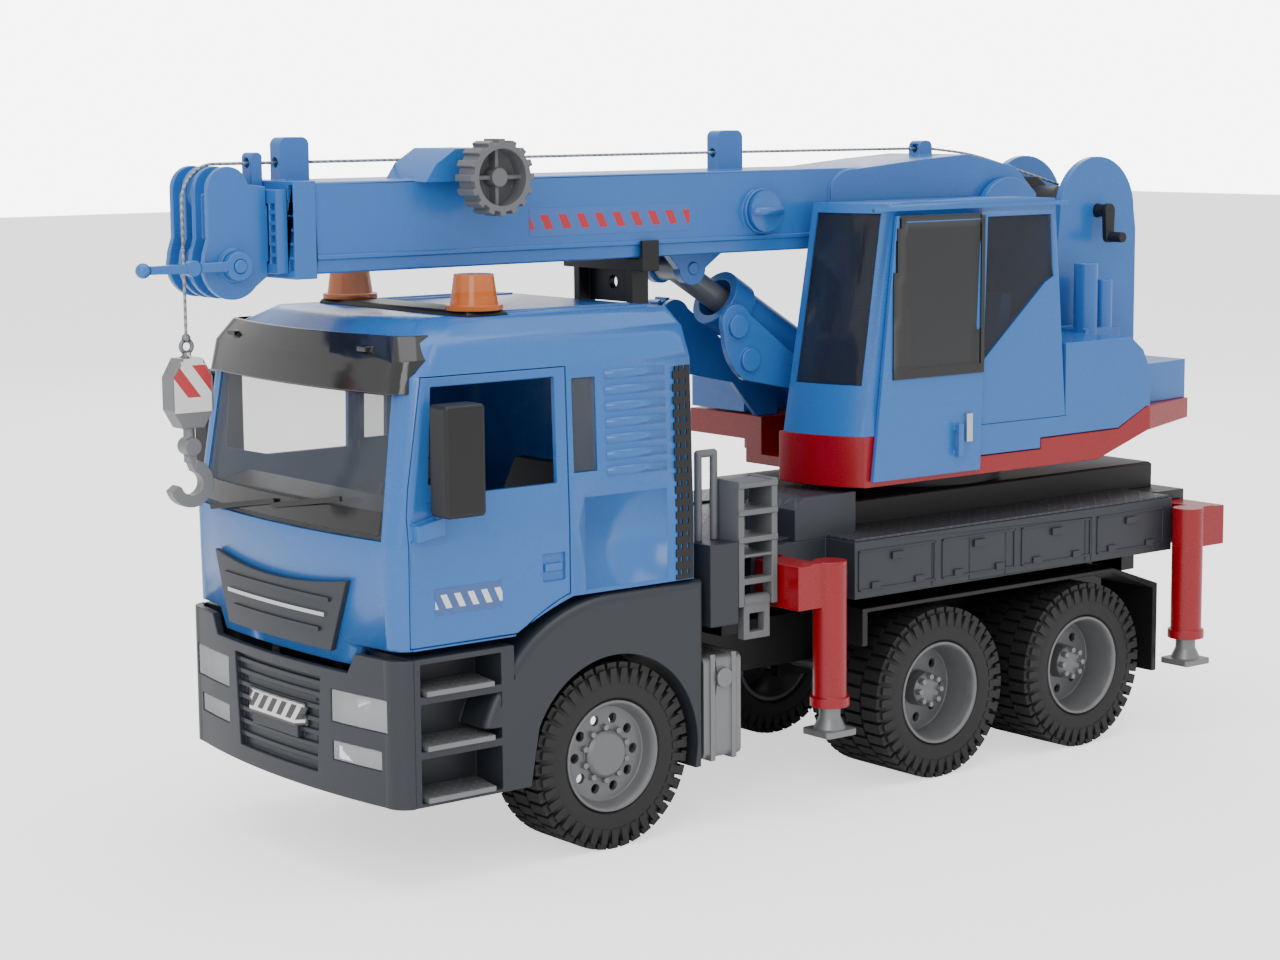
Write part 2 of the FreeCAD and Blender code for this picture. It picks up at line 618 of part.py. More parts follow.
def cab_shell():
    """Hollow blue shell with its window, door and wheel openings, and the tilt lugs."""
    hull = cab_hull()
    room = cut(cab_solid(WALL), side_plate([(-48, 80), (-48, CAB_Z0 + 3), (-19, CAB_FLOOR_Z), (60, CAB_FLOOR_Z),
                                                (60, 80)], -90, 90))
    nose = Part.Face(bow(NOSE_Z, -103.1, -91.4, CAB_HALF, -80)).extrude(V(0, 0, CAB_Z0 + 1 - NOSE_Z))
    nose = nose.common(nose_outline(-110, -95.5, 0))
    shell = fuse(cut(hull, room), nose)
    screen = front_plate([(-66, SILL_Z + 1.5), (-62.5, SCREEN_Z - 3), (62.5, SCREEN_Z - 3), (66, SILL_Z + 1.5)], -110, -70)
    door_hole = side_plate(door_outline(GAP), -90, -CAB_HALF + 9)
    quarter = side_plate([(-17.6, 149.5), (-6.4, 149.5), (-6.4, 185.5), (-17.6, 185.5)], -90, -CAB_HALF + 9)
    recess = side_plate([(-13, 104.2), (27, 104.2), (27, 139.8), (-13, 139.8)], -90, -CAB_HALF + 0.7)
    shell = cut(shell, screen, *both(door_hole), *both(quarter), *both(recess))
    ribs = []
    skin = cut(cab_solid(-0.7), cab_solid(1.0))
    for i in range(7):
        z = 147.0 + i * 6.2
        ribs += both(skin.common(box(-2.0, 27.0, -CAB_HALF - 2, -CAB_HALF + 6, z, z + 3.4)))
    roof_ribs = [box(-31, 36, y - 1.2, y + 1.2, ROOF_Z - 1.5, ROOF_Z + 0.7) for y in (-52, -40, 40, 52)]
    lugs = []
    for side in (-1, 1):
        y0, y1 = sorted((side * (RAIL_Y + RAIL_W + 0.4), side * (RAIL_Y + RAIL_W + 5)))
        lug = side_plate([(-90, CAB_Z0 + 2), (-89, 78), (TILT[0], TILT[1] - 4.5, "arc"), (-79, 78), (-78, CAB_Z0 + 2)], y0, y1)
        lugs.append(lug)
        p0, p1 = sorted((side * (RAIL_Y + 0.5), side * (RAIL_Y + RAIL_W + 5)))
        lugs.append(rod("y", TILT[0], p0, TILT[1], TILT_PIN_R, p1 - p0))
    return fuse(shell, *ribs, *roof_ribs, *lugs)


def cab_windows():
    """Smoked windscreen and quarter windows, seated just inside the shell's openings."""
    skin = cut(cab_solid(0.5), cab_solid(1.9))
    screen = skin.common(front_plate([(-65.7, SILL_Z + 1.8), (-62.2, SCREEN_Z - 3.3), (62.2, SCREEN_Z - 3.3),
                                      (65.7, SILL_Z + 1.8)], -110, -75))
    pane = skin.common(side_plate([(-17.4, 149.7), (-6.6, 149.7), (-6.6, 185.3), (-17.4, 185.3)], -90, -CAB_HALF + 9))
    return [screen] + both(pane)


def sun_visor():
    """Dark visor across the top of the windscreen."""
    rows = ((184.0, -98.5, -87.2, 71.5), (196.0, -97.6, -84.6, 71.0), (204.5, -93.5, -80.5, 64.0))
    outer = Part.makeLoft([bow(z, apex, side, half, -60) for z, apex, side, half in rows], True, True)
    inner = Part.makeLoft([bow(z, apex, side, half, -58, 1.6) for z, apex, side, half in rows], True, True)
    band = cut(outer, inner, box(-66, 0, -90, 90, 180, 210), cab_solid(-0.15))
    feet = []
    for y in (-48, 0, 48):
        feet.append(box(-94, -84, y - 3, y + 3, 198.6, 200.6))
    band = fuse(band, *feet)
    band = cut(band, cab_solid(0))
    return max(band.Solids, key=lambda s: s.Volume)


GRILLE_Z0 = 86.5


def grille_panel():
    """Dark trapezoid panel with three slats that lies on the cab's nose."""
    nose = bow(GRILLE_Z0, -103.4, -91.7, CAB_HALF, -80)
    top = bow(SILL_Z, -104.2, -92.2, CAB_HALF, -80)
    ahead = [bow(GRILLE_Z0, -105.6, -93.9, CAB_HALF, -80), bow(SILL_Z, -106.4, -94.4, CAB_HALF, -80)]
    slab = cut(Part.makeLoft(ahead, True, True), Part.makeLoft([nose, top], True, True))
    outline = front_plate([(-49, 114.5), (-38, GRILLE_Z0), (38, GRILLE_Z0), (49, 114.5), (0, 110.5, "arc")], -112, -90)
    return slab.common(outline)


def light_bar():
    """Black bar across the roof."""
    bar = box(-50, -31.5, -53, 53, 205, 211)
    bar = bar.makeFillet(2.0, [e for e in bar.Edges if e.BoundBox.ZMin > 210.9])
    bar = cut(bar, cab_solid(0))
    return max(bar.Solids, key=lambda s: s.Volume)


def beacon():
    """A flashing lamp with a base ring and a tapering lens."""
    x, y, z = -40.7, -44.2, 211.0
    ring = rod("z", x, y, z, 11.0, 2.0)
    lens = cone(x, y, z + 2, 9.2, 7.6, 11.6)
    return fuse(ring, lens)


def cab_interior():
    """Floor pan with dashboard, steering wheel and two seats."""
    floor = box(-84, 34, -60, 60, CAB_FLOOR_Z, 109)
    dash = side_plate([(-93.5, 131.5), (-93.5, 140), (-80, 143.0), (-76, 138), (-80, 106.5), (-84, 106.5), (-86, 130)],
                      -60, 60)
    seats = []
    for y in (-36.0, 36.0):
        base = box(-40, -8, y - 17, y + 17, 109, 124)
        cushion = box(-42, -6, y - 18, y + 18, 124, 131)
        back = side_plate([(-14, 131), (-6, 131), (0, 149.5), (-5, 149.5)], y - 17, y + 17)
        seats += [base, cushion, back]
    column = side_plate([(-80, 138), (-77, 136), (-66, 146), (-68, 148)], -38, -34)
    wheel = Part.makeTorus(13, 1.3, V(-66, -36, 147), V(-0.8, 0, 0.9))
    spokes = [Part.makeCylinder(0.9, 26, V(-66, -49, 147), V(0, 1, 0))]
    return fuse(floor, dash, column, wheel, *spokes, *seats)


def door():
    """The left door: a slice of the hull with an open window and a pull recess."""
    band = cut(cab_solid(0), cab_solid(WALL))
    leaf = band.common(side_plate(door_outline(0), -90, -CAB_HALF + 9))
    leaf = cut(leaf, side_plate(window_outline(), -90, -CAB_HALF + 9), cab_floor_cut())
    recess = side_plate([(-33, 109.5), (-22.5, 109.5), (-22.5, 120), (-33, 120)], -90, -CAB_HALF + 1.2)
    leaf = cut(leaf, recess)
    handle = box(-32, -24, -CAB_HALF - 0.2, -CAB_HALF + 1.6, 113.2, 116.2)
    leaf = max(leaf.Solids, key=lambda s: s.Volume)
    arm = side_plate([(-91.5, 131), (-91.5, 137), (-79.5, 139.5), (-79.5, 133)], -CAB_HALF - 4.4, -CAB_HALF + 0.4)
    pin = rod("z", MIRROR_PIN[0], MIRROR_PIN[1], 133, 1.4, 14)
    return fuse(leaf, handle, arm, pin)


MIRROR_PIN = (-81.2, -78.6)


def mirror():
    """The left mirror housing on its arm's pin."""
    head = box(-87.2, -69.8, -93.2, -81.2, 140.5, 181.5)
    head = head.makeFillet(1.8, [e for e in head.Edges])
    collar = rod("z", MIRROR_PIN[0], MIRROR_PIN[1], 141, 2.6, 5)
    link = box(MIRROR_PIN[0] - 1.5, -76, -85, MIRROR_PIN[1], 141.5, 145.5)
    bore = rod("z", MIRROR_PIN[0], MIRROR_PIN[1], 139, 1.4 + FIT, 9)
    return cut(fuse(head, collar, link), bore)


# ---- crane ------------------------------------------------------------------

CRANE_PLAN = [(137, -TURRET_HALF), (313, -TURRET_HALF), (TAIL_END, -58), (TAIL_END, 58), (313, 66), (154, 66), (154, -28),
              (126, -28), (129.5, -54, "arc")]


def panel(grow, y0, y1):
    """The blue side panel that hangs over the red skirt behind the sliding door."""
    g = grow
    return side_plate([(204 - g, RED_Z1 - 0.2 + 2 * g), (204 - g, 136.6 - g), (241.6 + g, 136.6 - g), (241.6 + g, 141.2 - g),
                       (291.8, 141.6 - g), (312.6 + g, 151), (312.6, 160), (258, 160), (258, RED_Z1 - 0.2 + 2 * g)], y0, y1)


def turret_base():
    """Red skirt under the crane, with the slewing stub and the luffing cylinder's ears."""
    plan = floor_plate(CRANE_PLAN, TURRET_Z0, RED_Z1)
    profile = side_plate([(120, TURRET_Z0), (279, TURRET_Z0), (312, 139), (360, 141), (360, RED_Z1), (120, RED_Z1)], -80, 80)
    body = plan.common(profile)
    body = cut(body, box(100, 186, -27, 80, TURRET_Z0 - 1, 139), panel(0.4, -71, -66.8))
    body = fuse(body, floor_plate([(154, -27), (190, -27), (190, 27), (154, 27)], TURRET_Z0, 139))
    pit = box(154 - 1, 246, -16, 16, 133, 160)
    hollows = [box(x, x + 34, y0, y1, TURRET_Z0 + 3, RED_Z1 - 3.2) for x in (262.0,) for y0, y1 in ((20, 56), (-56, -20))]
    stub = rod("z", SLEW_X, 0, DECK_Z1 + 0.5, STUB_R, TURRET_Z0 - DECK_Z1)
    stub = fuse(stub, rod("z", SLEW_X, 0, TURRET_Z0 - GAP + 0.02, 40, 2))
    ears = []
    for side in (-1, 1):
        y0, y1 = sorted((side * 6.4, side * 11))
        ears.append(box(LUFF_FOOT[0] - 7, LUFF_FOOT[0] + 7, y0, y1, 132, LUFF_FOOT[1] + 6))
    pin = rod("y", LUFF_FOOT[0], -11, LUFF_FOOT[1], 3.0, 22)
    return fuse(cut(body, pit), stub, pin, *ears)


def turret_body():
    """Blue upper works: right-hand box, boom pivot plates, engine cover, counterweight and winch tower."""
    z0 = RED_Z1
    right_box = side_plate([(154, z0 + 1), (154, 171), (163, 180), (300, 180), (300, z0 + 1)], 28, 65)
    right_box = cut(right_box, box(160, 296, 31, 62, z0, 176))
    plates = []
    for side in (-1, 1):
        y0, y1 = sorted((side * (BOOM_HALF + 2.2), side * (BOOM_HALF + 6)))
        plate = side_plate([(236, z0), (244, 240), (BOOM_PIVOT[0], 254, "arc"), (280, 240), (292, z0)], y0, y1)
        plates.append(cut(plate, rod("y", BOOM_PIVOT[0], -40, BOOM_PIVOT[1], BOOM_PIN_R + FIT, 80)))
    engine = side_plate([(CRANE_CAB_X1 + 0.3, z0), (CRANE_CAB_X1 + 0.3, 182), (300, 182), (308, 176), (313, 166), (313, z0)],
                        -TURRET_HALF, 66)
    engine = cut(engine, box(262, 308, -66, -32, z0 - 1, 178), box(262, 308, 32, 62, z0 - 1, 178))
    weight = floor_plate([(313, -62), (333, -60), (TAIL_END, -56), (TAIL_END, 56), (333, 60), (313, 62)], z0, 168)
    towers = []
    for side in (-1, 1):
        y0, y1 = sorted((side * 21.0, side * 25.0))
        z = WINCH[1]
        edge = WINCH_R
        towers.append(side_plate([(294, 180), (WINCH[0] - edge, z), (WINCH[0], z + edge, "arc"), (WINCH[0] + edge, z),
                                  (352, 228), (352, 166), (294, 166)], y0, y1))
    back = box(348, 352, -24, 24, 166, 226)
    brace = box(296, 300, -24, 24, 176, 196)
    tower = cut(fuse(back, brace, *towers), rod("y", WINCH[0], -40, WINCH[1], 3.0 + FIT, 80))
    canisters = [rod("z", x, -38, 180, 5.5, 34) for x in (304.0,)] + [rod("z", x, -38, 180, 4.0, 26) for x in (316.0,)]
    saddle = box(299, 322, -43, -25, 172, 184)
    return fuse(right_box, engine, weight, tower, saddle, panel(0, -TURRET_HALF, -67.2), *plates, *canisters, *luff_bracket())


def luff_bracket():
    """Rounded plates beside the luffing cylinder, joined to the turret's front."""
    plates = []
    for side in (-1, 1):
        y0, y1 = sorted((side * 19.0, side * 22.0))
        plates.append(side_plate([(112, 172), (104, 181, "arc"), (101, 193), (104, 203, "arc"), (115, 200), (136, 184),
                                  (166, 163), (166, RED_Z1), (154, RED_Z1), (140, 166)], y0, y1))
        for x, z in LUFF_BOSSES:
            b0, b1 = sorted((side * 19.0, side * 24.0))
            plates.append(rod("y", x, b0, z, 5.0, b1 - b0))
    knob_bore = rod("y", LUFF_BOSSES[0][0], 15, LUFF_BOSSES[0][1], 2.0 + FIT, 12)
    plates = [cut(plate, knob_bore) for plate in plates]
    return plates + [box(156, 163, 21, 29, RED_Z1 + 2, 160)]


LUFF_BOSSES = ((108.0, 195.0), (114.5, 180.5))


def crane_cab_volume(inset):
    """The crane cab's raked and bowed volume."""
    wires = []
    for z, front, far, back in ((RED_Z1 + inset, 137.0, 126.0, CRANE_CAB_X1), (CRANE_CAB_Z1 - inset, 151.0, 143.0, 249.0)):
        y0, y1 = -TURRET_HALF + inset, -31.0 - inset
        points = [(back - inset, y0), (front + inset, y0), ((front + far) / 2 - 3 + inset, (y0 + y1) / 2, "arc"),
                  (far + inset, y1), (back - inset, y1)]
        wires.append(path_wire(points, lambda a, b: V(a, b, z)))
    return Part.makeLoft(wires, True, True)


def crane_door_outline(grow):
    g = grow
    return [(139.5 - g * 0.5, 131.0 - g), (202.0 + g, 131.0 - g), (205.5 + g, 241.0 + g), (152.6 - g, 241.0 + g)]


REAR_PANE = [(205, 239), (247, 239), (248.6, 212), (243.5, 209.5), (205, 177)]


def crane_cab_shell():
    """Hollow crane cab with front, side and door openings and its seat."""
    shell = cut(crane_cab_volume(0), crane_cab_volume(WALL))
    door_hole = side_plate([(150, RED_Z1 + 3), (198, RED_Z1 + 3), (200, 238), (156, 238)], -80, -62)
    front_hole = front_plate([(-66.5, 171), (-34.4, 171), (-34.4, 242), (-66.5, 242)], 110, 153)
    rear_hole = side_plate(REAR_PANE, -80, -62)
    shell = cut(shell, door_hole, front_hole, rear_hole)
    seat = fuse(box(196, 226, -62, -38, RED_Z1 + 2, 172), side_plate([(220, 170), (228, 170), (232, 205), (226, 205)], -61, -39))
    wall = side_plate([(251.0, 217), (248.6, 243), (246.0, 243), (248.4, 217), (253.5, 184), (256.5, 184)], -68, -33)
    rails = [box(141, 256, -TURRET_HALF - 1.0, -TURRET_HALF + 0.5, 243.0, 244.6)]
    return fuse(shell, seat, wall, *rails)


def crane_cab_windows():
    """Smoked panes in the crane cab's front and rear side openings."""
    skin = cut(crane_cab_volume(0.5), crane_cab_volume(1.8))
    front = skin.common(front_plate([(-66.3, 171.2), (-34.6, 171.2), (-34.6, 241.8), (-66.3, 241.8)], 110, 152.6))
    pane = [(x + (0.2 if x < 220 else -0.3), z + (0.2 if z < 215 else -0.2)) for x, z in REAR_PANE]
    side = skin.common(side_plate(pane, -80, -62))
    return [max(front.Solids, key=lambda s: s.Volume), max(side.Solids, key=lambda s: s.Volume)]


def crane_cab_door():
    """Sliding door that hangs outside the crane cab's left wall."""
    y0 = -TURRET_HALF - 0.3 - 2.2
    leaf = side_plate(crane_door_outline(0), y0, y0 + 2.2)
    window = side_plate([(150.0, 176), (199.0, 176), (201.0, 238), (156.5, 238)], y0 - 1, y0 + 3)
    leaf = cut(leaf, window)
    glass = side_plate([(149.8, 175.8), (199.2, 175.8), (201.2, 238.2), (156.3, 238.2)], y0 + 0.6, y0 + 1.7)
    handle = fuse(box(186, 189, y0 - 2.4, y0 + 0.2, 138, 141), box(186, 189, y0 - 2.4, y0 + 0.2, 149, 152),
                  box(186, 189, y0 - 3.2, y0 - 1.8, 138, 152))
    return fuse(leaf, glass, handle)


# ---- boom -------------------------------------------------------------------

def notched_collar(x0, x1, half, z0, z1, inner_half, iz0, iz1):
    """A square collar with a column of small pockets down each side of its front face."""
    collar = box(x0, x1, -half, half, z0, z1)
    pockets = []
    rows = 6
    pitch = (z1 - z0 - 5) / rows
    width = half - inner_half - 2.0
    for i in range(rows):
        z = z0 + 2.5 + i * pitch
        pocket = box(x0 - 1, x0 + 2.2, -half + 1.0, -half + 1.0 + width, z + 0.8, z + pitch - 0.4)
        pockets += both(pocket)
    room = box(x0 - 1, x1 + 1, -inner_half - SLIDE_GAP, inner_half + SLIDE_GAP, iz0 - SLIDE_GAP, iz1 + SLIDE_GAP)
    return cut(collar, room, *pockets)


def rope_guide(x0, x1, top, z0):
    """A small tower with a hole for the rope."""
    r = min(3.0, 0.4 * (x1 - x0))
    k = r * (1 - cos(radians(45)))
    body = side_plate([(x0, z0), (x0, top - r), (x0 + k, top - k, "arc"), (x0 + r, top), (x1 - r, top),
                       (x1 - k, top - k, "arc"), (x1, top - r), (x1, z0)], -3.6, 3.6)
    return cut(body, rod("x", x0 - 1, 0, ROPE_Z, ROPE_R + 1.3, x1 - x0 + 2))


GUIDE_TOP = 276.5


def boom_outer():
    """Outer boom section: box, front collar, rope guides, rear hump, pivot and knob bracket."""
    tube_body = box(BOOM_X0 + 9, BOOM_X1, -BOOM_HALF, BOOM_HALF, BOOM_Z0, BOOM_Z1)
    tube_body = tube_body.makeFillet(1.0, [e for e in tube_body.Edges if e.BoundBox.XLength > 300])
    room = box(BOOM_X0 - 1, 236, -MID_HALF - SLIDE_GAP, MID_HALF + SLIDE_GAP, MID_Z0 - SLIDE_GAP, BOOM_Z1 - BOOM_WALL)
    collar = notched_collar(BOOM_X0, BOOM_X0 + 9.5, BOOM_HALF + 1.0, BOOM_Z0 - 1.6, BOOM_Z1 + 0.6, MID_HALF, MID_Z0, MID_Z1)
    sockets = both(box(BOOM_X0 - 1, BOOM_X0 + 4, -BOOM_HALF, -MID_HALF - 1.2, BOOM_Z1 - 4.6, BOOM_Z1 - 0.8))
    rack_top = KNOB_Z - MODULE * PINION_TEETH / 2 + 0.9
    channel = box(BOOM_X0 - 1, BOOM_X0 + 10, RACK_Y0 - SLIDE_GAP, RACK_Y1 + SLIDE_GAP, MID_Z1 - 1, rack_top + SLIDE_GAP)
    collar = cut(collar, channel, *sockets)
    bead = box(BOOM_X0 + 9, 205, -BOOM_HALF - 0.9, BOOM_HALF + 0.9, 231.2, 233.0)
    sleeve = side_plate([(158, 229), (158, 252), (164, 258, "arc"), (172, 259.4), (212, 262.8), (240, 264.6), (270, 258.5),
                         (284, 246), (284, 229)], -BOOM_HALF - 1.4, BOOM_HALF + 1.4)
    boss = rod("y", BOOM_PIVOT[0], -BOOM_HALF - 1.8, BOOM_PIVOT[1], 9, 2 * BOOM_HALF + 3.6)
    pin = rod("y", BOOM_PIVOT[0], -BOOM_HALF - 5.8, BOOM_PIVOT[1], BOOM_PIN_R, 2 * BOOM_HALF + 11.6)
    guide = rope_guide(113, 127, GUIDE_TOP, BOOM_Z1 - 1)
    low_guide = rope_guide(-100, -87, GUIDE_TOP, BOOM_Z1 - 1)
    rear_guide = rope_guide(231, 239, 270.6, BOOM_Z1 - 1)
    fork = []
    for side in (-1, 1):
        y0, y1 = sorted((side * 8.0, side * 12.5))
        fork.append(side_plate([(78, BOOM_Z0 + 1), (LUFF_EYE[0] - 7, LUFF_EYE[1]), (LUFF_EYE[0], LUFF_EYE[1] - 7, "arc"),
                                (LUFF_EYE[0] + 7, LUFF_EYE[1]), (110, BOOM_Z0 + 1)], y0, y1))
    fork_pin = rod("y", LUFF_EYE[0], -13.4, LUFF_EYE[1], LUFF_PIN_R, 26.8)
    bracket = side_plate([(KNOB_X - 24, BOOM_Z1 - 1), (KNOB_X - 19, 266), (KNOB_X - 10, 271.6), (KNOB_X + 8, 271.6),
                          (KNOB_X + 11, BOOM_Z1 - 1)], -BOOM_HALF - 7, RACK_Y1 + 3)
    lock_boss = rod("y", LOCK_X, -BOOM_HALF - 2.2, LOCK_Z, 9.5, 3.2)
    slope = side_plate([(266, 262), (284.5, 245.6), (290, 245.6), (290, 262)], -40, 40)
    body = cut(fuse(cut(tube_body, slope), bead, sleeve), room)
    body = fuse(body, collar, boss, pin, guide, low_guide, rear_guide, fork_pin, bracket, lock_boss, *fork)
    gear_room = rod("y", KNOB_X, RACK_Y0 - 1, KNOB_Z, 7.6, RACK_Y1 - RACK_Y0 + 2)
    axle_bore = rod("y", KNOB_X, -BOOM_HALF - 8, KNOB_Z, 2.5 + FIT, BOOM_HALF + 7)
    lock_bore = rod("y", LOCK_X, -BOOM_HALF - 3, LOCK_Z, 3.0 + FIT, 6)
    return cut(body, gear_room, axle_bore, lock_bore)


LOCK_X, LOCK_Z = 119.0, 243.0
RACK_Y0, RACK_Y1 = -13.0, -5.0


def tooth_ring(x, z, y0, y1, root, tip, count, width, phase):
    """A wheel with straight radial teeth."""
    wheel = [rod("y", x, y0, z, root, y1 - y0)]
    for i in range(count):
        tooth = box(root - 0.6, tip, y0, y1, -width / 2, width / 2)
        tooth.rotate(V(0, 0, 0), V(0, 1, 0), degrees(phase + 2 * pi * i / count))
        tooth.translate(V(x, 0, z))
        wheel.append(tooth)
    return fuse(*wheel)


def extension_knob():
    """Hollow toothed knob, its shaft and the pinion on the boom's rack."""
    pitch_r = MODULE * PINION_TEETH / 2
    grip = tooth_ring(KNOB_X, KNOB_Z, -48.0, -37.0, 13.0, 14.6, 16, 2.6, 0)
    grip = cut(grip, rod("y", KNOB_X, -49, KNOB_Z, 10.8, 9.5))
    hub = rod("y", KNOB_X, -46, KNOB_Z, 3.6, 10)
    webs = [box(KNOB_X - 11, KNOB_X + 11, -44, -38, KNOB_Z - 0.8, KNOB_Z + 0.8),
            box(KNOB_X - 0.8, KNOB_X + 0.8, -44, -38, KNOB_Z - 11, KNOB_Z + 11)]
    axle = rod("y", KNOB_X, -40, KNOB_Z, 2.5, 40 + RACK_Y1 + 2.4)
    pinion = tooth_ring(KNOB_X, KNOB_Z, RACK_Y0 - 0.5, RACK_Y1 + 0.5, pitch_r - 1.3, pitch_r + 0.3, PINION_TEETH, 1.25, pi / 2)
    return fuse(grip, hub, axle, pinion, *webs)


def boom_lock():
    """Round lock button with a raised bar on the boom's side."""
    disc = rod("y", LOCK_X, -BOOM_HALF - 4.6, LOCK_Z, 8.6, 2.2)
    bar = box(LOCK_X - 7.5, LOCK_X + 7.5, -BOOM_HALF - 7.0, -BOOM_HALF - 4.4, LOCK_Z - 1.6, LOCK_Z + 1.6)
    stem = rod("y", LOCK_X, -BOOM_HALF - 3.0, LOCK_Z, 3.0, 3.2)
    return fuse(disc, bar, stem)


CHEEK_X1 = -112.6
MID_X0, MID_X1 = CHEEK_X1 + GAP, 112.0
TIP_X1 = 96.0


def boom_mid():
    """Middle section: box with collar, rope guide and the rack on its top."""
    body = box(MID_X0 + 2, MID_X1, -MID_HALF, MID_HALF, MID_Z0, MID_Z1)
    collar = box(MID_X0, BOOM_X0 - GAP, -MID_HALF - 1.5, MID_HALF + 1.5, MID_Z0 - 2.5, MID_Z1 + 4.0)
    room = box(MID_X0 - 1, MID_X1 + 1, -TIP_HALF - SLIDE_GAP, TIP_HALF + SLIDE_GAP, MID_Z0 + 2.0 - SLIDE_GAP,
               MID_Z1 - 2.0 + SLIDE_GAP)
    pockets = []
    rows = 6
    pitch = (MID_Z1 - MID_Z0 - 1) / rows
    for i in range(rows):
        z = MID_Z0 + 0.5 + i * pitch
        pockets += both(box(MID_X0 - 1, MID_X0 + 2.4, -MID_HALF - 0.4, -TIP_HALF - 1.6, z + 0.8, z + pitch - 0.6))
    guide = rope_guide(MID_X0, BOOM_X0 - GAP, 271.0, MID_Z1 + 2)
    pitch_line = KNOB_Z - MODULE * PINION_TEETH / 2
    tooth_pitch = pi * MODULE
    rack = []
    first = KNOB_X + tooth_pitch / 2
    count = int((MID_X1 - 4 - first) / tooth_pitch) + 1
    for i in range(count):
        x = first + i * tooth_pitch
        rack.append(box(x - 0.6, x + 0.6, RACK_Y0, RACK_Y1, MID_Z1 - 0.5, pitch_line + 0.9))
    return fuse(cut(fuse(body, collar), room, *pockets), guide, *rack)


def cheek(y0, y1):
    """One plate of the boom head."""
    x, z = HEAD_PIN
    top_x, top_z, top_r = -128.0, 257.3, 9.0
    return side_plate([(CHEEK_X1, 225.5), (x + 9.5, 222), (x, z - HEAD_R, "arc"), (x - HEAD_R, z),
                       (x - HEAD_R + 0.8, z + 5), (top_x - top_r, z + 10), (top_x - top_r, top_z),
                       (top_x, top_z + top_r, "arc"), (top_x + top_r * 0.9, top_z + 2.4), (CHEEK_X1, top_z + 1.4)], y0, y1)


def boom_tip():
    """Inner section with the head: four cheeks, rope rounding, closing plates and lever boss."""
    z0, z1 = MID_Z0 + 2.0, MID_Z1 - 2.0
    body = box(MID_X0 - 5, TIP_X1, -TIP_HALF, TIP_HALF, z0, z1)
    body = cut(body, box(MID_X0 + 6, TIP_X1 + 1, -TIP_HALF + 2.2, TIP_HALF - 2.2, z0 + 2.2, z1 - 2.2))
    cheeks = both(cheek(-TIP_HALF, -TIP_HALF + 2.6)) + both(cheek(-4.8, -2.2))
    x, z = HEAD_PIN
    web = side_plate([(CHEEK_X1, 226), (x, z - 6), (x, z + 6), (-134, 240), (-134, 256), (CHEEK_X1, 258)],
                     -4.7, -TIP_HALF + 0.1)
    core = box(-121, CHEEK_X1, -TIP_HALF, TIP_HALF, 226, 255)
    roller = rod("y", x, -4, z, HEAD_R - 1.4 - ROPE_R, 8)
    top_roller = rod("y", -128.5, -4, 256.6, 7.4, 8)
    boss = rod("y", x, -TIP_HALF - 1.6, z, 6.2, 1.8)
    pin = rod("y", x, -TIP_HALF - 6.0, z, 2.5, 6.5)
    return fuse(body, core, roller, top_roller, boss, pin, *cheeks, *both(web))


def tip_lever():
    """Pull lever with a ball end on the head's near cheek."""
    x, z = HEAD_PIN
    y0 = -TIP_HALF - 1.9
    hub = rod("y", x, y0 - 3.4, z, 5.4, 3.4)
    bar = side_plate([(x, z - 2.0), (-165, z - 1.5), (-165, z + 1.5), (x, z + 2.0)], y0 - 3.2, y0 - 0.4)
    middle = rod("y", -146.0, y0 - 3.6, z, 3.0, 3.4)
    ball = Part.makeSphere(2.8, V(TIP_END + 2.8, y0 - 1.8, z))
    bore = rod("y", x, y0 - 4, z, 2.5 + FIT, 5)
    return cut(fuse(hub, bar, middle, ball), bore)


# ---- luffing cylinder, winch, rope and hook -----------------------------------

def along_luff(shape):
    """Turn a piece drawn along +X from the foot so that it points at the boom's fork."""
    dx = LUFF_EYE[0] - LUFF_FOOT[0]
    dz = LUFF_EYE[1] - LUFF_FOOT[1]
    angle = 180 - degrees(asin(dz / sqrt(dx * dx + dz * dz)))
    shape.rotate(V(0, 0, 0), V(0, 1, 0), -angle)
    shape.translate(V(LUFF_FOOT[0], 0, LUFF_FOOT[1]))
    return shape


LUFF_LENGTH = sqrt((LUFF_EYE[0] - LUFF_FOOT[0]) ** 2 + (LUFF_EYE[1] - LUFF_FOOT[1]) ** 2)


def luff_barrel():
    """Cylinder barrel with its foot eye and the wide collar at its mouth."""
    mouth = LUFF_LENGTH - 26
    eye = cut(rod("y", 0, -6, 0, 6.5, 12), rod("y", 0, -7, 0, 3.0 + FIT, 14))
    neck = cut(box(2, 20, -5, 5, -5, 5), rod("y", 0, -7, 0, 3.0 + FIT, 14))
    barrel = rod("x", 18, 0, 0, BARREL_R, mouth - 18)
    collar = rod("x", mouth - 12, 0, 0, BARREL_R + 1.6, 12)
    body = fuse(eye, neck, barrel, collar)
    body = cut(body, rod("x", 30, 0, 0, ROD_R + 3.2, mouth))
    return along_luff(body)


def luff_rod():
    """Piston rod with the eye on the boom's fork pin."""
    eye = rod("y", LUFF_LENGTH, -7.4, 0, LUFF_EYE_R, 14.8)
    stem = rod("x", 40, 0, 0, ROD_R, LUFF_LENGTH - 40)
    body = cut(fuse(eye, stem), rod("y", LUFF_LENGTH, -9, 0, LUFF_PIN_R + FIT, 18))
    return along_luff(body)


def luff_knob():
    """Grey knob on the far side of the luffing bracket."""
    x, z = LUFF_BOSSES[0]
    grip = tooth_ring(x, z, 24.4, 32.4, 8.6, 9.8, 12, 2.2, 0)
    return fuse(cut(grip, rod("y", x, 28.4, z, 6.6, 5)), rod("y", x, 18.6, z, 2.0, 6.4))


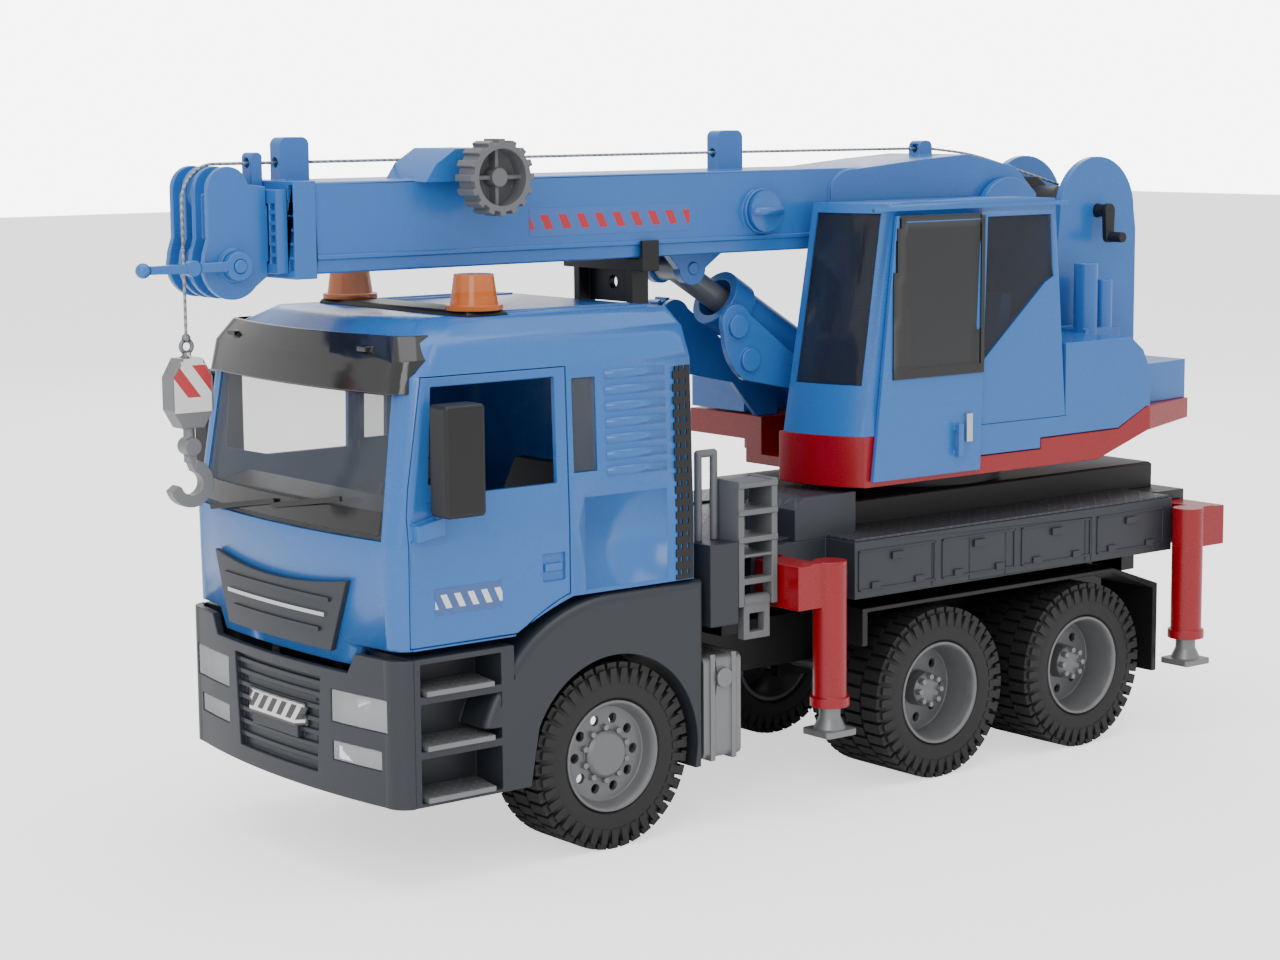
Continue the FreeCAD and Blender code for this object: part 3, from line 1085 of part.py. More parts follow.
def winch_drum():
    """Rope drum between the tower's cheeks with the crank outside."""
    x, z = WINCH
    drum = rod("y", x, -18, z, DRUM_R, 36)
    flanges = [rod("y", x, -20, z, 15, 2.2), rod("y", x, 17.8, z, 15, 2.2)]
    axle = rod("y", x, -33, z, 3.0, 61)
    arm = side_plate([(x - 3.2, z), (x, z + 3.4, "arc"), (x + 3.2, z), (x + 2.6, z - 12), (x, z - 14.6, "arc"), (x - 2.6, z - 12)],
                     -33, -30.4)
    grip = rod("y", x, -41, z - 12, 2.4, 9)
    return fuse(drum, axle, arm, grip, *flanges)


def rope_on_boom():
    return tube([(MID_X0 + 20, ROPE_Z), (120, ROPE_Z + 0.3), (239, ROPE_Z)], ROPE_R)


def rope_at_winch():
    return tube([(239.5, ROPE_Z), (268, 264.0), (296, 256.5), (WINCH[0], WINCH[1] + DRUM_R + ROPE_R + 0.15)], ROPE_R)


def rope_at_tip():
    x1 = MID_X0 + 19.5
    return tube([(x1, ROPE_Z), (ROPE_X, ROPE_Z), (ROPE_X, ROPE_Z - 30.4)], ROPE_R)


KNOT_Z = 205.0


def rope_hanging():
    return rod("z", ROPE_X, 0, KNOT_Z, ROPE_R, ROPE_Z - 30.8 - KNOT_Z)


def hook_block():
    """Knot, eye and six-sided block with the swivel bolt's bore."""
    x = HOOK_X
    knot = Part.makeSphere(1.7, V(x, 0, KNOT_Z - 1.75))
    ring = Part.makeTorus(2.3, 0.8, V(x, 0, 200.2), V(0, 1, 0))
    body = side_plate([(x - 4.5, 196), (x - 8.5, 189), (x - 8.5, 177), (x - 4.5, 170), (x + 4.5, 170), (x + 8.5, 177),
                       (x + 8.5, 189), (x + 4.5, 196)], -4.2, 4.2)
    neck = rod("z", x, 0, 195.5, 1.6, 2.6)
    return cut(fuse(knot, ring, neck, body), rod("z", x, 0, 169, 2.2 + FIT, 7))


def hook():
    """Load hook with its swivel bolt, open towards the front."""
    x = HOOK_X
    bolt = rod("z", x, 0, 157, 2.2, 18.5)
    head = rod("y", x, -3.4, 163.0, 3.4, 6.8)
    cx, cz = x - 0.5, 149.2
    r_out, r_in = 9.0, 4.4

    def spot(r, a):
        return (cx + r * cos(a), cz + r * sin(a))

    top = radians(75)
    tip = radians(-165)
    mid = (top + tip) / 2
    outline = [spot(r_out, top), spot(r_out, mid) + ("arc",), spot(r_out, tip), spot(r_in + 1.4, tip - 0.22),
               spot(r_in, tip), spot(r_in, mid) + ("arc",), spot(r_in, top)]
    bend = side_plate(outline, -2.4, 2.4)
    shank = side_plate([spot(r_in, top), spot(r_out, top), (x + 2.2, 161.5), (x - 2.2, 161.5)], -2.3, 2.3)
    return fuse(bolt, head, shank, bend)


# ---- write the nodes --------------------------------------------------------

def main():
    os.makedirs("parts", exist_ok=True)
    save("chassis_frame", chassis_frame())
    save("front_bumper", front_bumper())
    save("lamp_units", *lamp_units())
    save("fenders", *both(fender()))
    save("step_treads", *step_treads())
    save("rear_mudguards", *both(rear_mudguards()))
    save("side_tanks", *both(side_tank()))
    save("deck_body", deck_body())
    save("deck_walkway", deck_walkway())
    save("turntable_base", turntable_base())
    save("boom_rest", boom_rest())
    save("ladder", *ladder())
    save("fold_step", fold_step())
    wheel_nodes()
    outrigger_nodes()
    save("cab_shell", cab_shell())
    save("cab_windows", *cab_windows())
    save("sun_visor", sun_visor())
    save("grille_panel", grille_panel())
    save("light_bar", light_bar())
    save("beacons", *both(beacon()))
    save("cab_interior", cab_interior())
    save("door_left", door())
    save("door_right", flip(door()))
    save("mirror_left", mirror())
    save("mirror_right", flip(mirror()))
    save("turret_base", turret_base())
    save("turret_body", turret_body())
    save("crane_cab_shell", crane_cab_shell())
    save("crane_cab_windows", *crane_cab_windows())
    save("crane_cab_door", crane_cab_door())
    save("boom_outer", boom_outer())
    save("boom_mid", boom_mid())
    save("boom_tip", boom_tip())
    save("extension_knob", extension_knob())
    save("boom_lock", boom_lock())
    save("tip_lever", tip_lever())
    save("luff_barrel", luff_barrel())
    save("luff_rod", luff_rod())
    save("luff_knob", luff_knob())
    save("winch_drum", winch_drum())
    save("rope_on_boom", rope_on_boom())
    save("rope_at_winch", rope_at_winch())
    save("rope_at_tip", rope_at_tip())
    save("rope_hanging", rope_hanging())
    save("hook_block", hook_block())
    save("hook", hook())


main()
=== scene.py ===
"""Toy mobile crane truck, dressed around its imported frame. Lengths in millimetres are multiplied by MM."""
import json
from math import cos, pi, radians, sin

import bmesh
import bpy
from mathutils import Matrix, Vector
from mathutils.bvhtree import BVHTree


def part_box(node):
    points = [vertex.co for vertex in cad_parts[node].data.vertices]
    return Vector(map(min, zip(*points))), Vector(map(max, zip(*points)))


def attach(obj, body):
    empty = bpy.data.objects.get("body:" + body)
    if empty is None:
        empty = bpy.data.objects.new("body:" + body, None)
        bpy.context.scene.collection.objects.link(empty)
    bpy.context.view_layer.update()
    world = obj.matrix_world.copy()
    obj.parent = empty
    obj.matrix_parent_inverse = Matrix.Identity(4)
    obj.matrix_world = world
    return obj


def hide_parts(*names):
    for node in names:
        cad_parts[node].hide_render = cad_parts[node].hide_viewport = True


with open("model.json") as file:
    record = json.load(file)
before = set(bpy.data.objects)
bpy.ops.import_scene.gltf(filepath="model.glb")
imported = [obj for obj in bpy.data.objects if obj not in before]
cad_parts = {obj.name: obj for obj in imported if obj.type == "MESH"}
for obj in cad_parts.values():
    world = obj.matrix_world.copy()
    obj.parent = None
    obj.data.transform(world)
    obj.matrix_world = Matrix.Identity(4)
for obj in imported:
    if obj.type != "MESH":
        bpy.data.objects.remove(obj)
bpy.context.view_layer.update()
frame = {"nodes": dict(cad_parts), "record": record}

# ---- 1. Where it stands -----------------------------------------------------
# The toy stands on a seamless white studio table, lit by large soft lamps from above,
# from the left front and from behind, and is seen from a little above its cab.

MM = 0.001
camera_data = bpy.data.cameras.new("studio_camera")
camera_data.lens = 75.35
camera_data.sensor_width = 36.0
camera_data.clip_start, camera_data.clip_end = 0.05, 20.0
camera = bpy.data.objects.new("studio_camera", camera_data)
bpy.context.scene.collection.objects.link(camera)
turn, lift, roll = -0.66239, 0.13844, 0.00823
back = Vector((sin(turn) * cos(lift), -cos(turn) * cos(lift), sin(lift)))
camera.location = (-0.7080, -0.8829, 0.2867)
camera.rotation_mode = "QUATERNION"
camera.rotation_quaternion = (-back).to_track_quat("-Z", "Y") @ Matrix.Rotation(-roll, 3, "Z").to_quaternion()
bpy.context.scene.camera = camera

floor_mesh = bpy.data.meshes.new("studio_floor")
floor_bm = bmesh.new()
bmesh.ops.create_grid(floor_bm, x_segments=1, y_segments=1, size=6.0)
floor_bm.to_mesh(floor_mesh)
floor_bm.free()
floor = bpy.data.objects.new("studio_floor", floor_mesh)
bpy.context.scene.collection.objects.link(floor)
floor_finish = bpy.data.materials.new("studio_white")
floor_finish.use_nodes = True
floor_finish.node_tree.nodes["Principled BSDF"].inputs["Base Color"].default_value = (0.97, 0.97, 0.97, 1)
floor_finish.node_tree.nodes["Principled BSDF"].inputs["Roughness"].default_value = 0.75
floor_tree = floor_finish.node_tree
seen = floor_tree.nodes.new("ShaderNodeLightPath")
glow = floor_tree.nodes.new("ShaderNodeMath")
glow.operation = "MULTIPLY"
glow.inputs[1].default_value = 1.1
floor_tree.links.new(seen.outputs["Is Camera Ray"], glow.inputs[0])
floor_tree.nodes["Principled BSDF"].inputs["Emission Color"].default_value = (1, 1, 1, 1)
floor_tree.links.new(glow.outputs[0], floor_tree.nodes["Principled BSDF"].inputs["Emission Strength"])
floor_mesh.materials.append(floor_finish)

world = bpy.data.worlds.new("studio_air")
world.use_nodes = True
world.node_tree.nodes["Background"].inputs["Color"].default_value = (1, 1, 1, 1)
seen = world.node_tree.nodes.new("ShaderNodeLightPath")
wall = world.node_tree.nodes.new("ShaderNodeMath")
wall.operation = "MULTIPLY_ADD"
wall.inputs[1].default_value, wall.inputs[2].default_value = 6.0, 1.0
world.node_tree.links.new(seen.outputs["Is Camera Ray"], wall.inputs[0])
world.node_tree.links.new(wall.outputs[0], world.node_tree.nodes["Background"].inputs["Strength"])
bpy.context.scene.world = world
for lamp_name, lamp_size, power, place, aim in (
        ("lamp_above", (1.8, 1.2), 13.0, (-0.1, -0.15, 1.6), (0, 0, 0.1)),
        ("lamp_left_front", (0.9, 1.2), 13.0, (-1.5, -1.3, 1.1), (-0.05, 0, 0.12)),
        ("lamp_right_back", (1.0, 0.9), 5.0, (0.9, 1.3, 0.9), (0, 0, 0.15))):
    lamp_data = bpy.data.lights.new(lamp_name, "AREA")
    lamp_data.shape = "RECTANGLE"
    lamp_data.size, lamp_data.size_y = lamp_size
    lamp_data.energy = power
    lamp = bpy.data.objects.new(lamp_name, lamp_data)
    lamp.location = place
    lamp.rotation_mode = "QUATERNION"
    lamp.rotation_quaternion = (Vector(aim) - Vector(place)).to_track_quat("-Z", "Y")
    bpy.context.scene.collection.objects.link(lamp)


# ---- 2. Chassis in black plastic --------------------------------------------
# The ladder frame, turntable ring, boom rest and rear mudguards are moulded in black
# plastic with a fine satin grain, and snap together.

class Shade:
    """One socket of a finish's node tree. The signs + - * and / add Math nodes."""

    def __init__(self, tree, socket=None):
        self.tree, self.socket = tree, socket

    def node(self, kind, settings=None, inputs=None, out=0):
        made = self.tree.nodes.new(kind)
        for key, value in (settings or {}).items():
            if key == "stops":
                ramp = made.color_ramp
                while len(ramp.elements) < len(value):
                    ramp.elements.new(0.5)
                for element, (at, colour) in zip(ramp.elements, value):
                    element.position, element.color = at, colour
            else:
                setattr(made, key, value)
        for key, value in (inputs or {}).items():
            if isinstance(value, Shade):
                self.tree.links.new(value.socket, made.inputs[key])
            else:
                made.inputs[key].default_value = value
        return Shade(self.tree, made.outputs[out])

    def math(self, operation, first, second=0.0):
        return self.node("ShaderNodeMath", {"operation": operation}, {0: first, 1: second})

    def __add__(self, other):
        return self.math("ADD", self, other)

    def __radd__(self, other):
        return self.math("ADD", other, self)

    def __sub__(self, other):
        return self.math("SUBTRACT", self, other)

    def __rsub__(self, other):
        return self.math("SUBTRACT", other, self)

    def __mul__(self, other):
        return self.math("MULTIPLY", self, other)

    def __rmul__(self, other):
        return self.math("MULTIPLY", other, self)

    def __truediv__(self, other):
        return self.math("DIVIDE", self, other)

    def blend(self, low, high):
        """A colour that goes from low to high as this value goes from 0 to 1."""
        return self.node("ShaderNodeMix", {"data_type": "RGBA"}, {0: self, 6: low, 7: high}, out=2)

    def into(self, shader, name):
        self.tree.links.new(self.socket, shader.inputs[name])

    def relief(self, shader, depth, strength):
        """Lifts the surface by this value times a depth in mm."""
        inputs = {"Strength": strength, "Distance": depth * MM, "Height": self}
        self.node("ShaderNodeBump", inputs=inputs).into(shader, "Normal")


def finish(name, **uniform):
    """A new material, its shader with the even values set, and a Shade to build the rest from."""
    material = bpy.data.materials.new(name)
    material.use_nodes = True
    shader = material.node_tree.nodes["Principled BSDF"]
    for key, value in uniform.items():
        shader.inputs[key.replace("_", " ")].default_value = value
    return material, shader, Shade(material.node_tree)


def moulded(name, colour, rough, grain=0.35, depth=0.02, metal=0.0, coat=0.0, mottle=0.05):
    """Moulded plastic: soft cloudy flow of the colour, satin grain (mm) and a slightly uneven gloss."""
    material, shader, make = finish(name, Metallic=metal, Coat_Weight=coat, Coat_Roughness=0.12)
    place = make.node("ShaderNodeTexCoord", out=3)
    cloud = make.node("ShaderNodeTexNoise", inputs={"Vector": place, "Scale": 38.0, "Detail": 4.0})
    speck = make.node("ShaderNodeTexNoise", inputs={"Vector": place, "Scale": 1000.0 / grain, "Detail": 2.0})
    deep = tuple(c * (1 - mottle) for c in colour) + (1,)
    pale = tuple(min(1.0, c * (1 + mottle)) for c in colour) + (1,)
    (cloud * 0.7 + speck * 0.3).blend(deep, pale).into(shader, "Base Color")
    (cloud * 0.10 + speck * 0.08 + (rough - 0.09)).into(shader, "Roughness")
    speck.relief(shader, depth, 0.6)
    return material


def body_of(node):
    return next(body for body, members in frame["record"]["behaviour"]["bodies"].items() if node in members)


def piece(name, bm, material, body, sharp=32.0, bevel=0.0, stands_for=()):
    """Makes a finished mesh piece that rides on a body."""
    mesh = bpy.data.meshes.new(name)
    bm.to_mesh(mesh)
    bm.free()
    mesh.shade_smooth()
    mesh.set_sharp_from_angle(angle=radians(sharp))
    mesh.materials.append(material)
    obj = bpy.data.objects.new(name, mesh)
    bpy.context.scene.collection.objects.link(obj)
    if bevel:
        edge = obj.modifiers.new("rounded_edges", "BEVEL")
        edge.width = bevel * MM
        edge.segments = 2
        edge.limit_method = "ANGLE"
        edge.angle_limit = radians(sharp)
        edge.use_clamp_overlap = False
        edge.miter_outer = "MITER_ARC"
        even = obj.modifiers.new("even_shading", "WEIGHTED_NORMAL")
        even.keep_sharp = True
    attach(obj, body)
    if stands_for:
        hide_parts(*stands_for)
    return obj


def dressed(node, material, bevel=0.35, sharp=32.0):
    """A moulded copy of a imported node: its triangles merged into whole faces, its edges rounded."""
    bm = bmesh.new()
    bm.from_mesh(frame["nodes"][node].data)
    bmesh.ops.remove_doubles(bm, verts=bm.verts, dist=0.002 * MM)
    if bevel:
        bmesh.ops.dissolve_limit(bm, angle_limit=radians(0.4), verts=bm.verts, edges=bm.edges)
    return piece(node + "_moulded", bm, material, body_of(node), sharp, bevel, (node,))


FRONT_AXLE = -92.2       # mm along the frame; places below are counted back from the front axle


def at(x, y, z):
    return Vector(((x + FRONT_AXLE) * MM, y * MM, z * MM))


def block(bm, x0, x1, y0, y1, z0, z1):
    size = Matrix.Diagonal(((x1 - x0) * MM, (y1 - y0) * MM, (z1 - z0) * MM, 1))
    place = Matrix.Translation(at((x0 + x1) / 2, (y0 + y1) / 2, (z0 + z1) / 2))
    return bmesh.ops.create_cube(bm, size=1.0, matrix=place @ size)["verts"]


def lathe(bm, profile, x, z, steps):
    """Turns a profile of (y, radius) points round a crosswise axle at x, z."""
    points = [bm.verts.new(at(x, y, z + r)) for y, r in profile]
    edges = [bm.edges.new(pair) for pair in zip(points, points[1:])]
    bmesh.ops.spin(bm, geom=points + edges, cent=at(x, 0, z), axis=(0, 1, 0), angle=2 * pi, steps=steps,
                   use_merge=True)
    bmesh.ops.remove_doubles(bm, verts=bm.verts, dist=0.001 * MM)
    bmesh.ops.recalc_face_normals(bm, faces=bm.faces)


def ring_of(bm, verts, x, z, count):
    """Repeats a solid until count of them stand evenly round the crosswise axle at x, z."""
    faces = list({face for vert in verts for face in vert.link_faces})
    turn_by = 2 * pi * (count - 1) / count
    bmesh.ops.spin(bm, geom=verts + faces, cent=at(x, 0, z), axis=(0, 1, 0), angle=turn_by, steps=count - 1,
                   use_duplicate=True)


def label(name, node, material, span, side, lift=0.12, step=2.0, hole=None, stands=0.0):
    """A thin layer that follows a node's surface. span is (low, high, low, high) in mm: along the truck and
    up for a side, across and up for the front. side is "left", "right" or "front"."""
    bm = bmesh.new()
    bm.from_mesh(frame["nodes"][node].data)
    tree = BVHTree.FromBMesh(bm)
    bm.free()
    low_u, high_u, low_z, high_z = span
    columns = max(1, int((high_u - low_u) / step))
    rows = max(1, int((high_z - low_z) / step))
    bm = bmesh.new()
    layer = bm.loops.layers.uv.new("UVMap")
    grid = {}
    for i in range(columns + 1):
        for j in range(rows + 1):
            u = low_u + (high_u - low_u) * i / columns
            z = low_z + (high_z - low_z) * j / rows
            if side == "front":
                start, way = at(-160, u, z), Vector((1, 0, 0))
            else:
                sign = -1 if side == "left" else 1
                start, way = at(u, sign * 120, z), Vector((0, -sign, 0))
            spot, normal = tree.ray_cast(start, way)[:2]
            if spot is not None:
                grid[i, j] = bm.verts.new(spot - way * lift * MM)
    for i in range(columns):
        for j in range(rows):
            corners = [(i, j), (i + 1, j), (i + 1, j + 1), (i, j + 1)]
            if any(c not in grid for c in corners):
                continue
            middle_u = low_u + (high_u - low_u) * (i + 0.5) / columns
            middle_z = low_z + (high_z - low_z) * (j + 0.5) / rows
            if hole and hole(middle_u, middle_z):
                continue
            if side != "left":
                corners.reverse()
            face = bm.faces.new([grid[c] for c in corners])
            for loop, c in zip(face.loops, corners):
                loop[layer].uv = (c[0] / columns, c[1] / rows)
    loose = [v for v in bm.verts if not v.link_faces]
    bmesh.ops.delete(bm, geom=loose, context="VERTS")
    if stands:
        way = {"left": (0, -1, 0), "right": (0, 1, 0), "front": (-1, 0, 0)}[side]
        made = bmesh.ops.extrude_face_region(bm, geom=bm.faces[:])
        bmesh.ops.translate(bm, verts=[v for v in made["geom"] if isinstance(v, bmesh.types.BMVert)],
                            vec=Vector(way) * stands * MM)
        bmesh.ops.recalc_face_normals(bm, faces=bm.faces)
    return piece(name, bm, material, body_of(node))


def sticker(name, ground, ink, border=0.06, bars=3.0, slant=0.5, share=0.45):
    """Printed film: a ground colour inside a thin border of the ink, with slanted bars of the ink."""
    material, shader, make = finish(name, Roughness=0.28, Coat_Weight=0.3)
    place = make.node("ShaderNodeTexCoord", out=2)
    split = place.node("ShaderNodeSeparateXYZ", inputs={"Vector": place})
    u = split
    v = Shade(split.tree, split.socket.node.outputs[1])
    edge = u.math("MINIMUM", u.math("MINIMUM", u, 1.0 - u), u.math("MINIMUM", v, 1.0 - v) * 0.35)
    rim = edge.math("LESS_THAN", edge, border * 0.35)
    phase = u.math("FRACT", u * bars + v * slant)
    bar = phase.math("LESS_THAN", phase, share)
    inside = v.math("LESS_THAN", v.math("ABSOLUTE", v - 0.5), 0.26)
    film = make.node("ShaderNodeTexCoord", out=3)
    grain = make.node("ShaderNodeTexNoise", inputs={"Vector": film, "Scale": 2500.0})
    mark = rim.math("MAXIMUM", rim, bar * inside)
    (mark * 0.96 + grain * 0.04).blend(ground + (1,), ink + (1,)).into(shader, "Base Color")
    grain.relief(shader, 0.01, 0.3)
    return material


black = moulded("black_plastic", (0.006, 0.006, 0.007), 0.46)
for node in ("chassis_frame", "turntable_base", "boom_rest", "rear_mudguards"):
    dressed(node, black, 0.3)

# ---- 3. Bumper, fenders and deck in dark grey --------------------------------
# The bumper, wheel arches and deck skirt are one dark blue-grey plastic with a slightly
# coarser satin grain. Silver treads and side tanks are snapped into them.

dark_grey = moulded("dark_grey_plastic", (0.024, 0.028, 0.036), 0.42, grain=0.4, depth=0.03)
for node in ("front_bumper", "fenders", "deck_body", "grille_panel"):
    dressed(node, dark_grey)


def chequered(name, colour, pitch, metal):
    """Moulded tread plate: raised lozenges that lie crosswise to their neighbours, each coloured paler as a
    painted highlight.
    """
    material, shader, make = finish(name, Metallic=metal)
    place = make.node("ShaderNodeTexCoord", out=3)
    split = make.node("ShaderNodeSeparateXYZ", inputs={"Vector": place})
    u = split * (1000.0 / pitch)
    v = Shade(split.tree, split.socket.node.outputs[1]) * (1000.0 / pitch)
    odd = u.math("MODULO", u.math("ABSOLUTE", u.math("FLOOR", u) + v.math("FLOOR", v)), 2.0)
    a = u.math("FRACT", u) - 0.5
    b = v.math("FRACT", v) - 0.5
    along, over = a + b, a - b
    first = (along.math("ABSOLUTE", along) / 0.85) + (over.math("ABSOLUTE", over) / 0.3)
    second = (along.math("ABSOLUTE", along) / 0.3) + (over.math("ABSOLUTE", over) / 0.85)
    far = odd * first + (1.0 - odd) * second
    lozenge = far.math("MINIMUM", far.math("MAXIMUM", (1.0 - far) * 2.5, 0.0), 1.0)
    grain = make.node("ShaderNodeTexNoise", inputs={"Vector": place, "Scale": 2600.0, "Detail": 2.0})
    deep = tuple(c * 0.8 for c in colour) + (1,)
    pale = tuple(min(1.0, c * 1.25) for c in colour) + (1,)
    # painted highlight: the raised lozenges are coloured paler than the plate between them, mixed with the
    # grain
    (lozenge * 0.6 + grain * 0.4).blend(deep, pale).into(shader, "Base Color")
    (0.42 - lozenge * 0.1 + grain * 0.06).into(shader, "Roughness")
    (lozenge + grain * 0.06).relief(shader, 0.3, 0.9)
    return material


silver = moulded("silver_plastic", (0.22, 0.225, 0.235), 0.36, grain=0.25, depth=0.015, metal=0.5,
                 mottle=0.08)
chrome = moulded("bright_plastic", (0.62, 0.63, 0.65), 0.14, grain=0.25, depth=0.003, metal=0.95, mottle=0.03)
dressed("step_treads", chequered("step_chequer", (0.24, 0.245, 0.26), 4.4, 0.5), 0.25)
dressed("deck_walkway", chequered("deck_chequer", (0.045, 0.05, 0.062), 5.0, 0.2), 0.25)
dressed("side_tanks", silver, 0.25)
light_grey = moulded("light_grey_plastic", (0.13, 0.134, 0.142), 0.45)
for node in ("ladder", "fold_step", "extension_knob"):
    dressed(node, light_grey, 0.3)

HEAD_LAMP, FOG_LAMP = (38.5, 70.5, 60.0, 72.5, 3), (39.0, 67.0, 45.5, 53.0, 2)    # across, up, cups in each
BOW_FRONT, BOW_CURVE = -99.5, 0.0022      # the bumper's face bows back from its middle
CUP_DEPTH = 4.0
bm = bmesh.new()
for side in (-1, 1):
    for y0, y1, z0, z1, cups in (HEAD_LAMP, FOG_LAMP):
        for i in range(cups):
            middle = side * (y0 + (y1 - y0) * (i + 0.5) / cups)
            radius = 0.44 * min((y1 - y0) / cups, z1 - z0)
            cup_x = BOW_FRONT + BOW_CURVE * middle * middle + CUP_DEPTH
            place = Matrix.Translation(at(cup_x, middle, (z0 + z1) / 2)) @ Matrix.Rotation(pi / 2, 4, "Y")
            bmesh.ops.create_cone(bm, segments=28, radius1=radius * MM, radius2=0.3 * radius * MM,
                                  depth=CUP_DEPTH * MM, matrix=place)
piece("lamp_reflectors", bm, chrome, "chassis")
plate_print = sticker("number_plate_film", (0.80, 0.80, 0.78), (0.03, 0.03, 0.035), border=0.10, bars=6.0,
                      slant=0.0, share=0.55)
label("number_plate", "front_bumper", plate_print, (-21, 21, 55, 64), "front", lift=0.3,
      stands=0.9)
SKIRT_Y, LID_Z0, LID_Z1, BEAD = 78.0, 87.2, 104.2, 0.8
bm = bmesh.new()
for x0, x1 in ((126, 170), (174, 218), (222, 266), (270, 314)):
    for side in (-1, 1):
        def standing(*extent, proud):
            """A small block on the skirt's face, proud of it."""
            x_low, x_high, z_low, z_high = extent
            block(bm, x_low, x_high, *sorted((side * SKIRT_Y, side * (SKIRT_Y + proud))), z_low, z_high)

        for z in (LID_Z0, LID_Z1 - BEAD):
            standing(x0, x1, z, z + BEAD, proud=0.5)
        for x in (x0, x1 - BEAD):
            standing(x, x + BEAD, LID_Z0, LID_Z1, proud=0.5)
        latch_x = (x0 + x1) / 2
        standing(latch_x - 3.5, latch_x + 3.5, 99.0, 102.0, proud=1.2)
        for hinge_x in (x0 + 7, x1 - 12):
            standing(hinge_x, hinge_x + 5, 87.6, 90.4, proud=0.9)
piece("locker_lids", bm, dark_grey, "chassis", bevel=0.15)

# ---- 4. Wheels ----------------------------------------------------------------
# Each wheel is a satin grey rim with a soft black rubber tyre pulled over it. The tyre
# has staggered rows of square tread blocks and a ring of lugs on each shoulder.

rubber = moulded("tyre_rubber", (0.012, 0.012, 0.0125), 0.62, grain=0.5, depth=0.03)
rim_finish = moulded("rim_plastic", (0.17, 0.172, 0.18), 0.4, grain=0.25, depth=0.015, metal=0.35)
TYRE_R, BEAD_R, BLOCKS = 37.0, 22.0, 40
for axle, x, width, rows in (("front", 0.0, 30.0, 3), ("middle", 176.5, 44.0, 4), ("rear", 265.0, 44.0, 4)):
    bm = bmesh.new()
    for side in (-1, 1):
        outer, inner = side * 76.0, side * (76.0 - width)
        step_in = -side
        bulge = [(2.2, BEAD_R), (0.7, BEAD_R + 1.2), (0.2, BEAD_R + 5), (0.6, BEAD_R + 9),
                 (2.0, TYRE_R - 3.4), (3.4, TYRE_R - 1.9)]
        profile = [(outer + step_in * y, r) for y, r in bulge]
        profile += [(inner - step_in * y, r) for y, r in reversed(bulge)]
        lathe(bm, profile, x, TYRE_R, 72)
        for row in range(rows):
            y0 = outer + step_in * (0.8 + (width - 1.6) * row / rows + 0.5)
            y1 = outer + step_in * (0.8 + (width - 1.6) * (row + 1) / rows - 0.5)
            lug = block(bm, x - 2.15, x + 2.15, min(y0, y1), max(y0, y1), 2 * TYRE_R - 2.6, 2 * TYRE_R)
            turn_by = pi / BLOCKS if row % 2 else 0.0
            bmesh.ops.rotate(bm, verts=lug, cent=at(x, 0, TYRE_R), matrix=Matrix.Rotation(turn_by, 3, "Y"))
            ring_of(bm, lug, x, TYRE_R, BLOCKS)
        for edge_y, way in ((outer, step_in), (inner, -step_in)):
            y0, y1 = sorted((edge_y + way * 0.15, edge_y + way * 3.0))
            lug = block(bm, x - 1.5, x + 1.5, y0, y1, 2 * TYRE_R - 8.0, 2 * TYRE_R - 2.2)
            ring_of(bm, lug, x, TYRE_R, BLOCKS)
    bmesh.ops.recalc_face_normals(bm, faces=bm.faces)
    tyres = axle + "_tyres"
    piece(axle + "_tyre_pair", bm, rubber, body_of(tyres), stands_for=(tyres,))
    dressed(axle + "_rims_and_shaft", rim_finish, 0.3)
    bm = bmesh.new()
    bolts, ring, face = (10, 10.5, 69.5) if axle == "front" else (8, 6.0, 68.5)
    for side in (-1, 1):
        nut = Matrix.Translation(at(x, side * face, TYRE_R + ring)) @ Matrix.Rotation(pi / 2, 4, "X")
        made = bmesh.ops.create_cone(bm, cap_ends=True, segments=6, radius1=1.5 * MM, radius2=1.3 * MM,
                                     depth=3.0 * MM, matrix=nut)["verts"]
        ring_of(bm, made, x, TYRE_R, bolts)
    piece(axle + "_wheel_nuts", bm, silver, body_of(axle + "_rims_and_shaft"), bevel=0.15)

# ---- 5. Outriggers --------------------------------------------------------------
# A red beam end and its hanging tube are one moulding, which slides out of the deck.
# A smooth silver foot slides in the tube.

red = moulded("red_plastic", (0.30, 0.002, 0.008), 0.28, coat=0.15)
for node in frame["nodes"]:
    if node.startswith("outrigger_leg"):
        dressed(node, red, 0.3)
    if node.startswith("outrigger_foot"):
        dressed(node, silver, 0.3)

# ---- 6. Driver's cab --------------------------------------------------------------
# The shell and doors are blue moulded plastic, and the panes are lightly tinted. Wipers,
# visor, mirrors and the bands along the windscreen are black.

BLUE = (0.030, 0.150, 0.46)
blue = moulded("blue_plastic", BLUE, 0.26, grain=0.3, depth=0.010, coat=0.15, mottle=0.04)
dressed("cab_shell", blue, 0.0)
for node in ("door_left", "door_right"):
    dressed(node, blue)
for node in ("light_bar", "cab_interior", "mirror_left", "mirror_right"):
    dressed(node, black, 0.3)
gloss_black = moulded("gloss_black_plastic", (0.01, 0.01, 0.011), 0.16, depth=0.004, coat=0.4)
dressed("sun_visor", gloss_black, 0.3)


def clear(name, colour, rough, alpha):
    """Clear moulded plastic, tinted all through."""
    material, shader, make = finish(name, Roughness=rough, IOR=1.49)
    place = make.node("ShaderNodeTexCoord", out=3)
    flow = make.node("ShaderNodeTexNoise", inputs={"Vector": place, "Scale": 30.0, "Detail": 2.0})
    flow.blend(tuple(c * 0.9 for c in colour) + (1,), tuple(colour) + (1,)).into(shader, "Base Color")
    (flow * 0.04 + (alpha - 0.02)).into(shader, "Alpha")
    return material


